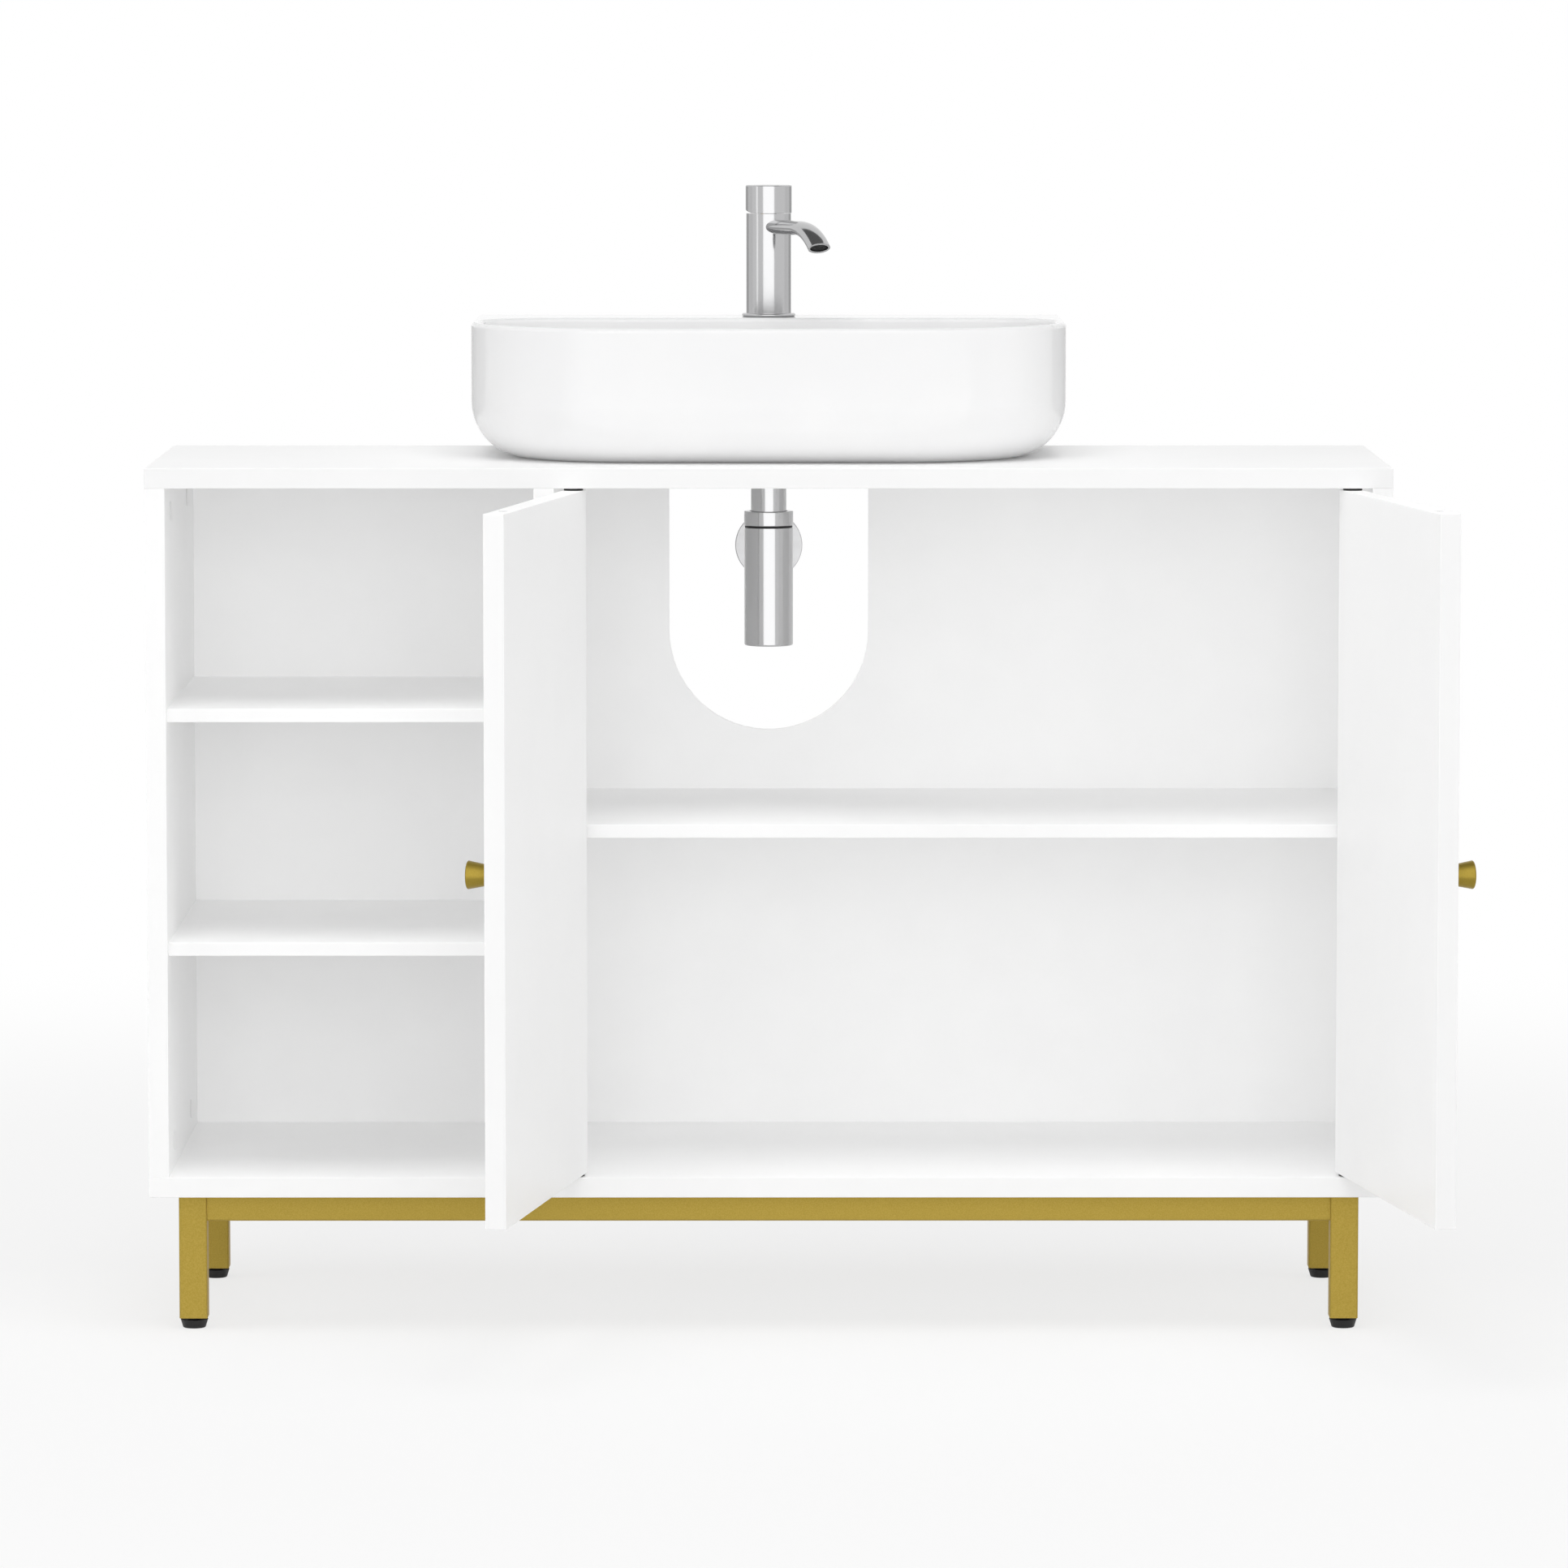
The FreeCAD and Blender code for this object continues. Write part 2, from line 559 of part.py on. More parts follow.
def back_panel():
    body = new_body("back_panel")
    box(body, (f"({X_LEFT} + board - lap)", BACK_FACE, f"({FLOOR} - lap)"),
        ("unit_w - 2 * board + 2 * lap", "back_t", "inner_high + 2 * lap"))
    arch_z = f"({CEILING} - cutout_low + cutout_r)"
    box(body, ("-cutout_r", BACK_FACE, arch_z), ("2 * cutout_r", "back_t", "cutout_low - cutout_r + lap"),
        cut=True)
    drill(body, ("0", BACK_FACE, arch_z), "cutout_r", "back_t", TO_Y)
    for _, x, z in BACK_SCREWS:
        drill(body, (x, BACK_FACE, z), "screw_r", "back_t", TO_Y)
        drill(body, (x, Y_BACK, z), "screw_head_r", "screw_head", TO_MINUS_Y)


def dowels():
    """The dowels of the panel joints and of the shelves."""
    solids, long = [], "dowel_in + dowel_out"
    for name in UPRIGHTS:
        middle = upright_middle(name)
        for y in DOWEL_ROWS:
            solids.append(pin((middle, y, f"({CEILING} - dowel_out)"), "dowel_r", long))
            solids.append(pin((middle, y, f"({FLOOR} - dowel_in)"), "dowel_r", long))
    for shelf_x, shelf_w, _, shelf_z in SHELVES.values():
        for face in (shelf_x, f"({shelf_x} + {shelf_w})"):
            for y in CAM_ROWS:
                at = (f"({face} - shelf_dowel)", y, f"({shelf_z} + thin / 2)")
                solids.append(pin(at, "dowel_r", "2 * shelf_dowel", TO_X))
    group("dowels", solids)


def cams():
    """The cam locks in the uprights and the bolts that they draw down."""
    bolts, locks = [], []
    for name, (_, cam_face, cam_turn) in UPRIGHTS.items():
        middle = upright_middle(name)
        for joint, into_panel, into_upright, away in ENDS.values():
            centre = f"({joint} + {away} * cam_reach)"
            for y in CAM_ROWS:
                thread = pin((middle, y, joint), "bolt_thread_r", "bolt_thread", into_panel)
                shaft = pin((middle, y, joint), "bolt_r", "cam_reach", into_upright)
                head = pin((middle, y, f"({centre} - {away} * bolt_head / 2)"), "bolt_head_r", "bolt_head",
                           into_upright)
                bolts.append(joined([thread, shaft, head]))
                disc = pin((cam_face, y, centre), "cam_r", "cam_deep", cam_turn)
                way = pin((middle, y, joint), "cam_bore_r", "cam_reach + bolt_head", into_upright)
                locks.append(less(disc, way))
    group("cam_bolts", bolts)
    group("cam_locks", locks)


def back_screws():
    solids = []
    for _, x, z in BACK_SCREWS:
        shank = pin((x, Y_BACK, z), "screw_r", "screw_long", TO_MINUS_Y)
        head = pin((x, Y_BACK, z), "screw_head_r", "screw_head", TO_MINUS_Y)
        solids.append(joined([shank, head]))
    group("back_screws", solids)


# Doors, each drawn shut about its pivot and then turned open


def door_turn(side):
    return FreeCAD.Rotation(FreeCAD.Vector(0, 0, 1), -SIDES[side] * number("door_open"))


def door_point(side, along, inward, up):
    """A point of the open door: along it from the pivot, towards its inner face, and up from its foot."""
    sign = SIDES[side]
    turn = f"({-sign} * door_open)"
    x = f"({PIVOTS[side]} + cos{turn} * {sign} * {along} - sin{turn} * {inward})"
    y = f"({PIVOT_Y} + sin{turn} * {sign} * {along} + cos{turn} * {inward})"
    return x, y, f"({DOOR_LOW} + {up})"


def door(side):
    body = new_body(f"door_{side}")
    sign = SIDES[side]
    low_x = "-pivot_edge" if sign > 0 else "pivot_edge - door_w"
    box(body, (low_x, "-board / 2", "0"), ("door_w", "board", DOOR_H))
    hinge_x = -sign * number("pivot_edge")
    round_edges(body, "door_round",
                lambda edge: edge.BoundBox.ZLength > 1 and abs(edge.BoundBox.XMax - hinge_x) < 0.01)
    free_x = sign * number("door_w - pivot_edge")
    round_edges(body, "arris",
                lambda edge: edge.BoundBox.ZLength < 1 or abs(edge.BoundBox.XMax - free_x) < 0.01)
    drill(body, ("0", "0", "0"), "bush_r", "bush_long")
    drill(body, ("0", "0", DOOR_H), "bush_r", "bush_long", DOWN)
    drill(body, (f"{sign} * (door_w - pivot_edge - knob_edge)", "-board / 2", "knob_high"),
          "stud_r", "stud_door", TO_Y)
    drill(body, (f"{sign} * (door_w - pivot_edge - magnet_edge)", "0", DOOR_H), "magnet_r", "magnet_t", DOWN)
    place(body, door_point(side, "0", "0", "0"), door_turn(side))


def pivot_bushes(side):
    """A flanged bush in the door's foot and one in its head."""
    solids = []
    for start, turn in ((DOOR_LOW, UP), (f"({DOOR_LOW} + {DOOR_H})", DOWN)):
        away = "-1" if turn is UP else "1"
        sleeve = pin((PIVOTS[side], PIVOT_Y, start), "bush_r", "bush_long", turn)
        flange_at = (PIVOTS[side], PIVOT_Y, f"({start} + {away} * flange_t)")
        flange = pin(flange_at, "flange_r", "flange_t", turn)
        bore = pin(flange_at, "bush_bore_r", "bush_long + flange_t", turn)
        solids.append(less(joined([sleeve, flange]), bore))
    group(f"pivot_bushes_{side}", solids)


def pivot_pins():
    solids = []
    for x in PIVOTS.values():
        for start in (f"({FLOOR} - pin_panel)", f"({CEILING} - pin_door)"):
            solids.append(pin((x, PIVOT_Y, start), "pin_r", "pin_panel + pin_door"))
    group("pivot_pins", solids)


def knob(side):
    """A knob that widens away from the door, and the stud that holds it."""
    along = "(door_w - pivot_edge - knob_edge)"
    outward = door_turn(side).multiply(TO_MINUS_Y)
    at = door_point(side, along, "(-board / 2)", "knob_high")
    profile = [("0", "0"), ("knob_small_r", "0"), ("knob_big_r", "knob_long"), ("0", "knob_long")]
    body = turned(f"knob_{side}", profile, at, outward)
    round_edges(body, "knob_round", lambda edge: edge.Length > 2 * number("knob_big_r") * 3)
    drill(body, ("0", "0", "0"), "stud_r", "stud_knob")
    stud = new_body(f"knob_stud_{side}")
    rod(stud, ("0", "0", "-stud_door"), "stud_r", "stud_door + stud_knob")
    place(stud, at, outward)


def magnets():
    for side in SIDES:
        body = new_body(f"magnet_{side}")
        rod(body, ("0", "0", "0"), "magnet_r", "magnet_t")
        place(body, door_point(side, "(door_w - pivot_edge - magnet_edge)", "0", f"({DOOR_H} - magnet_t)"))
    fixed = [pin((magnet_x(side), PIVOT_Y, CEILING), "magnet_r", "magnet_t") for side in SIDES]
    group("catch_magnets", fixed)


# Base

LEG_X = {"left": f"({X_LEFT} + base_side)", "right": "(unit_w / 2 - base_side - tube)"}
LEG_Y = {"front": f"({Y_FRONT} + base_front)", "back": f"({Y_FRONT} + base_front + base_d - tube)"}
CORNERS = [(row_name, side) for row_name in LEG_Y for side in LEG_X]


def tube(body, at, size, hollow_at, hollow_size):
    """A rounded square tube: a block with its long edges rounded and its inside cut out."""
    box(body, at, size)
    lengths = [number(text) for text in size]
    long_way = lengths.index(max(lengths))
    round_edges(body, "tube_round", lambda edge: abs(edge.Length - lengths[long_way]) < 0.01)
    box(body, hollow_at, hollow_size, cut=True)


def leg(row_name, side):
    body = new_body(f"leg_{row_name}_{side}")
    x, y = LEG_X[side], LEG_Y[row_name]
    tube(body, (x, y, TUBE_END), ("tube", "tube", "leg_long"), (f"{x} + wall", f"{y} + wall", TUBE_END),
         ("tube - 2 * wall", "tube - 2 * wall", "leg_long - leg_cap"))


def long_rail(row_name):
    """The front or the back rail, with the ways for the screws that hold the base."""
    body = new_body(f"rail_{row_name}")
    x, y = f"({LEG_X['left']} + tube)", f"({LEG_Y[row_name]} + (tube - rail_d) / 2)"
    z, long = f"({UNDERSIDE} - rail_h)", f"({LEG_X['right']} - {LEG_X['left']} - tube)"
    tube(body, (x, y, z), (long, "rail_d", "rail_h"), (x, f"{y} + wall", f"{z} + wall"),
         (long, "rail_d - 2 * wall", "rail_h - 2 * wall"))
    for screw_x in BASE_SCREWS:
        middle = f"({LEG_Y[row_name]} + tube / 2)"
        drill(body, (screw_x, middle, z), "access_r", "rail_h / 2")
        drill(body, (screw_x, middle, f"{z} + rail_h / 2"), "base_screw_r", "rail_h / 2")


def side_rail(side):
    body = new_body(f"rail_{side}")
    x, y = f"({LEG_X[side]} + (tube - rail_d) / 2)", f"({LEG_Y['front']} + tube)"
    z, long = f"({UNDERSIDE} - rail_h)", "(base_d - 2 * tube)"
    tube(body, (x, y, z), ("rail_d", long, "rail_h"), (f"{x} + wall", y, f"{z} + wall"),
         ("rail_d - 2 * wall", long, "rail_h - 2 * wall"))


def base_screws():
    solids = []
    for y in BASE_ROWS:
        for x in BASE_SCREWS:
            shank = pin((x, y, f"({UNDERSIDE} - wall)"), "base_screw_r", "wall + base_screw_bite")
            head = pin((x, y, f"({UNDERSIDE} - wall - base_head)"), "base_head_r", "base_head")
            solids.append(joined([shank, head]))
    group("base_screws", solids)


def leg_inserts():
    """The threaded plugs in the lower ends of the legs."""
    solids = []
    for row_name, side in CORNERS:
        x, y, z = LEG_X[side], LEG_Y[row_name], f"({TUBE_END} + insert_up)"
        block = doc.addObject("Part::Box", "Plug")
        block.setExpression("Length", bound("tube - 2 * wall"))
        block.setExpression("Width", bound("tube - 2 * wall"))
        block.setExpression("Height", bound("insert_long"))
        place(block, (f"{x} + wall", f"{y} + wall", z))
        bore = pin((f"{x} + tube / 2", f"{y} + tube / 2", z), "foot_bore_r", "insert_long")
        solids.append(less(block, bore))
    group("leg_inserts", solids)


def foot(row_name, side):
    """A levelling foot: a tapered pad with a hub, and its threaded stud."""
    at = (f"{LEG_X[side]} + tube / 2", f"{LEG_Y[row_name]} + tube / 2", "0")
    profile = [("0", "0"), ("pad_low_r", "0"), ("pad_top_r", "pad_high"), ("hub_r", "pad_high"),
               ("hub_r", TUBE_END), ("0", TUBE_END)]
    body = turned(f"foot_{row_name}_{side}", profile, at)
    round_edges(body, "pad_round", lambda edge: level(edge, 0))
    drill(body, ("0", "0", "foot_stud_low"), "foot_stud_r", f"{TUBE_END} - foot_stud_low")
    stud = new_body(f"foot_stud_{row_name}_{side}")
    rod(stud, ("0", "0", "foot_stud_low"), "foot_stud_r", "foot_stud_long")
    place(stud, at)


# Basin


def basin():
    body = new_body("basin")
    left, front = "(-basin_w / 2)", f"({Y_BACK} - basin_d)"
    box(body, (left, front, WORKTOP), ("basin_w", "basin_d", "basin_h"))
    front_y, back_y = number(front), number(Y_BACK)
    low_z, top_z = number(WORKTOP), number(DECK)
    round_edges(body, "basin_corner",
                lambda edge: edge.BoundBox.ZLength > 1 and abs(edge.BoundBox.YMax - front_y) < 0.01)
    round_edges(body, "basin_under", lambda edge: level(edge, low_z) and edge.BoundBox.YMin < back_y - 1)
    round_edges(body, "basin_rim", lambda edge: level(edge, top_z))

    bowl_back, wide = f"({Y_BACK} - deck_d)", "(basin_w / 2 - basin_wall)"
    rounded_pocket(body, DECK, "bowl_deep", (wide, f"({front} + basin_wall)", bowl_back),
                   ("(basin_corner - basin_wall)", "bowl_corner"))
    round_edges(body, "bowl_under", lambda edge: level(edge, number(f"{DECK} - bowl_deep")))
    inner_x, inner_y = number(wide) + 0.01, number(bowl_back) + 0.01
    round_edges(body, "basin_rim", lambda edge: level(edge, top_z) and edge.BoundBox.YMax < inner_y
                and edge.BoundBox.XMax < inner_x and edge.BoundBox.XMin > -inner_x)
    feature(body, "SubtractiveCone", ("0", "waste_y", BOWL_FLOOR),
            Radius1="dish_flat_r", Radius2="dish_r", Height="dish_deep")
    drill(body, ("0", "waste_y", WORKTOP), "basin_hole_r", "basin_h")

    rounded_pocket(body, f"({WORKTOP} + recess_deep)", "recess_deep",
                   ("(basin_w / 2 - foot_ring)", f"({front} + foot_ring)", bowl_back),
                   ("(basin_corner - foot_ring)", "recess_corner"))
    box(body, ("-hollow_w / 2", f"{bowl_back} + hollow_wall", WORKTOP),
        ("hollow_w", "deck_d - 2 * hollow_wall", "basin_h - deck_t"), cut=True)
    drill(body, ("0", "tap_y", WORKTOP), "tap_hole_r", "basin_h")


# Waste and bottle trap


def waste():
    at = ("0", "waste_y", "0")
    profile = [("waste_r", "waste_low"), ("waste_r", BOWL_FLOOR), ("waste_flange_r", BOWL_FLOOR),
               ("waste_flange_r", f"{BOWL_FLOOR} + waste_flange_t"),
               ("waste_bore_r", f"{BOWL_FLOOR} + waste_flange_t"), ("waste_bore_r", "waste_step"),
               ("pipe_r", "waste_step"), ("pipe_r", "waste_low")]
    body = turned("waste_body", profile, at)
    rim_z, rim_w = number(f"{BOWL_FLOOR} + waste_flange_t"), number("2 * waste_flange_r") - 1
    round_edges(body, "waste_flange_t / 2", lambda edge: level(edge, rim_z) and edge.BoundBox.XLength > rim_w)
    long = "2 * waste_bore_r + 2"
    box(body, (f"-({long}) / 2", "-spider_w / 2", "waste_step"), (long, "spider_w", "spider_t"))
    box(body, ("-spider_w / 2", f"-({long}) / 2", "waste_step"), ("spider_w", long, "spider_t"))
    rod(body, ("0", "0", "waste_step"), "spider_hub_r", "2 * spider_t")
    drill(body, ("0", "0", "waste_step"), "plug_bore_r", "2 * spider_t")

    nut = new_body("waste_nut")
    nut_z = f"({WORKTOP} + recess_deep - nut_t)"
    prism = nut.newObject("PartDesign::AdditivePrism", "Prism")
    prism.Polygon = 6
    prism.setExpression("Circumradius", bound("nut_r"))
    prism.setExpression("Height", bound("nut_t"))
    place(prism, ("0", "0", nut_z))
    drill(nut, ("0", "0", nut_z), "waste_r", "nut_t")
    place(nut, at)

    plug_z = f"({BOWL_FLOOR} + waste_flange_t - plug_t / 2)"
    profile = [("0", f"{plug_z} - plug_stem"), ("plug_stem_r", f"{plug_z} - plug_stem"),
               ("plug_stem_r", plug_z), ("plug_r", plug_z), ("plug_r", f"{plug_z} + plug_t"),
               ("0", f"{plug_z} + plug_t")]
    plug = turned("waste_plug", profile, at)
    round_edges(plug, "plug_t / 3", lambda edge: level(edge, number(f"{plug_z} + plug_t")))


def trap():
    at = ("0", "waste_y", "0")
    turned("trap_tailpiece", [("pipe_bore_r", "tail_low"), ("pipe_r", "tail_low"), ("pipe_r", "tail_top"),
                              ("pipe_bore_r", "tail_top")], at)
    profile = [("pipe_r", "collar_low"), ("collar_r", "collar_low"), ("collar_r", "collar_top"),
               ("pipe_r + collar_gap", "collar_top"), ("pipe_r + collar_gap", "collar_top - collar_groove"),
               ("pipe_r", "collar_top - collar_groove")]
    collar = turned("trap_collar_nut", profile, at)
    round_edges(collar, "collar_round", lambda edge: edge.BoundBox.XLength > 2 * number("collar_r") - 1
                and edge.BoundBox.ZLength < 0.01)
    inner_r = "(cup_r - cup_wall)"
    profile = [("0", "cup_low"), ("cup_r", "cup_low"), ("cup_r", "cup_top"), ("cup_neck_r", "cup_top"),
               ("cup_neck_r", "collar_low"), ("pipe_r", "collar_low"), ("pipe_r", "cup_top - cup_wall"),
               (inner_r, "cup_top - cup_wall"), (inner_r, "cup_low + cup_wall"), ("0", "cup_low + cup_wall")]
    cup = turned("trap_cup", profile, at)
    round_edges(cup, "cup_wall", lambda edge: level(edge, number("cup_low")))
    drill(cup, ("0", "0", "outlet_z"), "pipe_r", "cup_r + 1", TO_Y)

    outlet = new_body("trap_outlet_pipe")
    long = f"({Y_BACK} - waste_y - outlet_start)"
    rod(outlet, ("0", "outlet_start", "outlet_z"), "pipe_r", long, TO_Y)
    drill(outlet, ("0", "outlet_start", "outlet_z"), "pipe_bore_r", long, TO_Y)
    place(outlet, at)

    flange = [("pipe_r", "0"), ("wall_flange_r", "0"), ("wall_flange_r", "wall_flange_edge"),
              ("pipe_r + 2", "wall_flange_t"), ("pipe_r", "wall_flange_t")]
    turned("wall_flange", flange, ("0", Y_BACK, "outlet_z"), TO_MINUS_Y)


# Tap: drawn with its spout towards the front, then turned to the viewer's right

TAP_AT = ("0", "tap_y", DECK)
CARTRIDGE_TOP = "(tap_high - cartridge_down)"
CARTRIDGE_LOW = f"({CARTRIDGE_TOP} - cartridge_long)"
SPOUT_Z = "(tap_high - spout_down)"
TILT = "(tap_high + tilt_up)"
HANDLE_LOW = "(tap_high + handle_gap)"


def tap_turn():
    return FreeCAD.Rotation(FreeCAD.Vector(0, 0, 1), number("tap_turn"))


def spout_section(body, name, walls):
    """The spout's oval outline at its start, as one or more nested ovals."""
    sketch = sketch_on(body, "XZ_Plane", name)
    sketch.AttachmentOffset = FreeCAD.Placement(FreeCAD.Vector(0, 0, number("spout_start")), UP)
    centre = FreeCAD.Vector(0, number(SPOUT_Z), 0)
    for wall in walls:
        half_w, half_t = number(f"spout_wide / 2 - {wall}"), number(f"spout_thick / 2 - {wall}")
        sketch.addGeometry(Part.Ellipse(centre, half_w, half_t), False)
    return sketch


def tap_body():
    profile = [("0", "-shank_long"), ("shank_r", "-shank_long"), ("shank_r", "ring_t"), ("tap_r", "ring_t"),
               ("tap_r", "tap_high"), ("cartridge_r", "tap_high"), ("cartridge_r", CARTRIDGE_LOW),
               ("0", CARTRIDGE_LOW)]
    body = turned("tap_body", profile, TAP_AT, tap_turn())
    socket = body.newObject("PartDesign::Pocket", "SpoutSocket")
    socket.Profile = spout_section(body, "Socket", ["0"])
    socket.Length = number("tap_r - spout_start + 1")
    socket.Reversed = True
    for sign in (1, -1):
        drill(body, (f"{sign} * inlet_off", "0", "-shank_long"), "inlet_r", "inlet_deep")
    doc.recompute()


def tap_spout():
    body = new_body("tap_spout")
    section = spout_section(body, "Section", ["0", "spout_wall"])
    spine = sketch_on(body, "YZ_Plane", "Spine")
    bend_y, z, radius = -number("spout_bend"), number(SPOUT_Z), number("spout_radius")
    start, end = FreeCAD.Vector(-number("spout_start"), z, 0), FreeCAD.Vector(bend_y, z, 0)
    spine.addGeometry(Part.LineSegment(start, end), False)
    bend = Part.Circle(FreeCAD.Vector(bend_y, z - radius, 0), FreeCAD.Vector(0, 0, 1), radius)
    turn = number("spout_angle")
    spine.addGeometry(Part.ArcOfCircle(bend, math.radians(90), math.radians(90 + turn)), False)
    sweep = body.newObject("PartDesign::AdditivePipe", "Sweep")
    sweep.Profile = section
    sweep.Spine = spine
    place(body, TAP_AT, tap_turn())
    doc.recompute()


def spout_outlet():
    """The insert inside the spout's end."""
    body = new_body("spout_outlet")
    sketch = sketch_on(body, "XY_Plane")
    half_w = number("spout_wide / 2 - spout_wall - outlet_gap")
    half_t = number("spout_thick / 2 - spout_wall - outlet_gap")
    sketch.addGeometry(Part.Ellipse(FreeCAD.Vector(), half_w, half_t), False)
    pad = body.newObject("PartDesign::Pad", "Insert")
    pad.Profile = sketch
    pad.setExpression("Length", bound("outlet_t"))
    reach = "(spout_bend + spout_radius * sin(spout_angle) - outlet_in * cos(spout_angle))"
    drop = "(spout_radius * (1 - cos(spout_angle)) - outlet_in * sin(spout_angle))"
    inward = FreeCAD.Rotation(FreeCAD.Vector(0, 0, 1), FreeCAD.Vector(0, number("cos(spout_angle)"),
                                                                     number("sin(spout_angle)")))
    at = (f"sin(tap_turn) * {reach}", f"tap_y - cos(tap_turn) * {reach}", f"{DECK} + {SPOUT_Z} - {drop}")
    place(body, at, tap_turn().multiply(inward))
    doc.recompute()


def tap_fittings():
    profile = [("shank_r", "0"), ("ring_r", "0"), ("ring_r", "ring_t"), ("shank_r", "ring_t")]
    ring = turned("tap_base_ring", profile, TAP_AT)
    round_edges(ring, "ring_t / 2 - 0.1", lambda edge: edge.BoundBox.XLength > 2 * number("ring_r") - 1
                and edge.BoundBox.ZLength < 0.01)
    profile = [("shank_r", "-deck_t - fix_t"), ("fix_r", "-deck_t - fix_t"), ("fix_r", "-deck_t"),
               ("shank_r", "-deck_t")]
    turned("tap_fixing_nut", profile, TAP_AT)
    profile = [("0", CARTRIDGE_LOW), ("cartridge_r", CARTRIDGE_LOW), ("cartridge_r", CARTRIDGE_TOP),
               ("0", CARTRIDGE_TOP)]
    cartridge = turned("tap_cartridge", profile, TAP_AT)
    drill(cartridge, ("0", "0", CARTRIDGE_TOP), "spindle_bore_r", "spindle_in + 1", DOWN)


def tap_spindle():
    """The cartridge's turning spindle, with a fork that carries the handle's tilt pin."""
    body = new_body("tap_spindle")
    rod(body, ("0", "0", f"{CARTRIDGE_TOP} - spindle_in"), "spindle_r", "spindle_in + handle_gap")
    rod(body, ("0", "0", f"{CARTRIDGE_TOP} + handle_gap"), "turret_r", "turret_t")
    ear_z = f"({CARTRIDGE_TOP} + handle_gap)"
    for x in ("(-ear_gap / 2 - ear_t)", "(ear_gap / 2)"):
        box(body, (x, "-ear_w / 2", ear_z), ("ear_t", "ear_w", f"{TILT} + ear_w / 2 - {ear_z}"))
    rod(body, ("-ear_gap / 2 - ear_t", "0", TILT), "tilt_pin_r", "ear_gap + 2 * ear_t", TO_X)
    place(body, TAP_AT, tap_turn())


def tap_handle():
    """The handle: a cap with a slanted relief at its back and a stem on the tilt pin."""
    top = f"({HANDLE_LOW} + handle_high)"
    inner_r = "(handle_r - handle_wall)"
    profile = [(inner_r, HANDLE_LOW), ("handle_r", HANDLE_LOW), ("handle_r", top), ("0", top),
               ("0", f"{top} - handle_wall"), (inner_r, f"{top} - handle_wall")]
    body = turned("tap_handle", profile, TAP_AT, tap_turn())
    round_edges(body, "handle_round", lambda edge: level(edge, number(top)))
    tilted = FreeCAD.Rotation(FreeCAD.Vector(1, 0, 0), number("relief_angle"))
    relief_at = ("-2 * handle_r", "-relief_front + relief_block * sin(relief_angle)",
                 f"{HANDLE_LOW} - relief_block * cos(relief_angle)")
    feature(body, "SubtractiveBox", relief_at, tilted,
            Length="4 * handle_r", Width="3 * handle_r", Height="relief_block")
    box(body, ("-stem_w / 2", "-stem_w / 2", f"{TILT} - stem_low"),
        ("stem_w", "stem_w", f"{top} - handle_wall / 2 - {TILT} + stem_low"))
    drill(body, ("-stem_w", "0", TILT), "tilt_bore_r", "2 * stem_w", TO_X)


# The whole cabinet

top_panel()
bottom_panel()
for name in UPRIGHTS:
    upright(name)
for name in SHELVES:
    shelf(name)
back_panel()
dowels()
cams()
back_screws()
for side in SIDES:
    door(side)
    pivot_bushes(side)
    knob(side)
pivot_pins()
magnets()
for row_name, side in CORNERS:
    leg(row_name, side)
    foot(row_name, side)
for row_name in LEG_Y:
    long_rail(row_name)
for side in LEG_X:
    side_rail(side)
base_screws()
leg_inserts()
basin()
waste()
trap()
tap_body()
tap_spout()
spout_outlet()
tap_fittings()
tap_spindle()
tap_handle()
doc.recompute()

faults = [f"{item.Label}: {item.State}" for item in doc.Objects if {"Invalid", "Error"} & set(item.State)]
faults += [item.Label for item in subparts if item.Shape.isNull() or not item.Shape.isValid()]
if faults:
    raise SystemExit("faulty: " + "; ".join(faults))

os.makedirs("parts", exist_ok=True)
for item in subparts:
    item.Shape.exportStep(f"parts/{item.Label}.step")
print(len(subparts), "nodes,", sum(len(item.Shape.Solids) for item in subparts), "solids")
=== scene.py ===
"""The looks of the washbasin base cabinet: its finishes and fine trim, the studio and the camera.

Lengths are in metres in the frame's own axes: the front faces -Y and +Z is up.
"""
import json
import math

import bmesh
import bpy
from mathutils import Matrix, Vector

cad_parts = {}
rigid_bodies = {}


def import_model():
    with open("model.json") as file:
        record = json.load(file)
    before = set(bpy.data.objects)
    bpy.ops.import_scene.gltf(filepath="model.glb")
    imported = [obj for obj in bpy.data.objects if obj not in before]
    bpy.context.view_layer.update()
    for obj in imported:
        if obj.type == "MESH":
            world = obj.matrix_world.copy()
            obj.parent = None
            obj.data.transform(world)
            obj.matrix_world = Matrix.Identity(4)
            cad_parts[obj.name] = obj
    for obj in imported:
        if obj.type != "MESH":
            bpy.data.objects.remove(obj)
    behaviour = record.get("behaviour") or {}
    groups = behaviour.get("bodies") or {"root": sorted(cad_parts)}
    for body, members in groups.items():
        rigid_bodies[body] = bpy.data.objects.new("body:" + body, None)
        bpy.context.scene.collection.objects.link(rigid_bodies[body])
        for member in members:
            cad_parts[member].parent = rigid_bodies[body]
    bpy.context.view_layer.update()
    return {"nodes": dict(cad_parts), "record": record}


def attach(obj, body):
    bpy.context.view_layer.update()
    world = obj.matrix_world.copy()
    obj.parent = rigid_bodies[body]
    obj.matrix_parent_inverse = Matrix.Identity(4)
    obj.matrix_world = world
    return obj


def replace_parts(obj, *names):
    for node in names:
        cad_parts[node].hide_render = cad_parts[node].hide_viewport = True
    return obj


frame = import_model()
nodes = frame["nodes"]
MM = 0.001
WELD = 1e-6

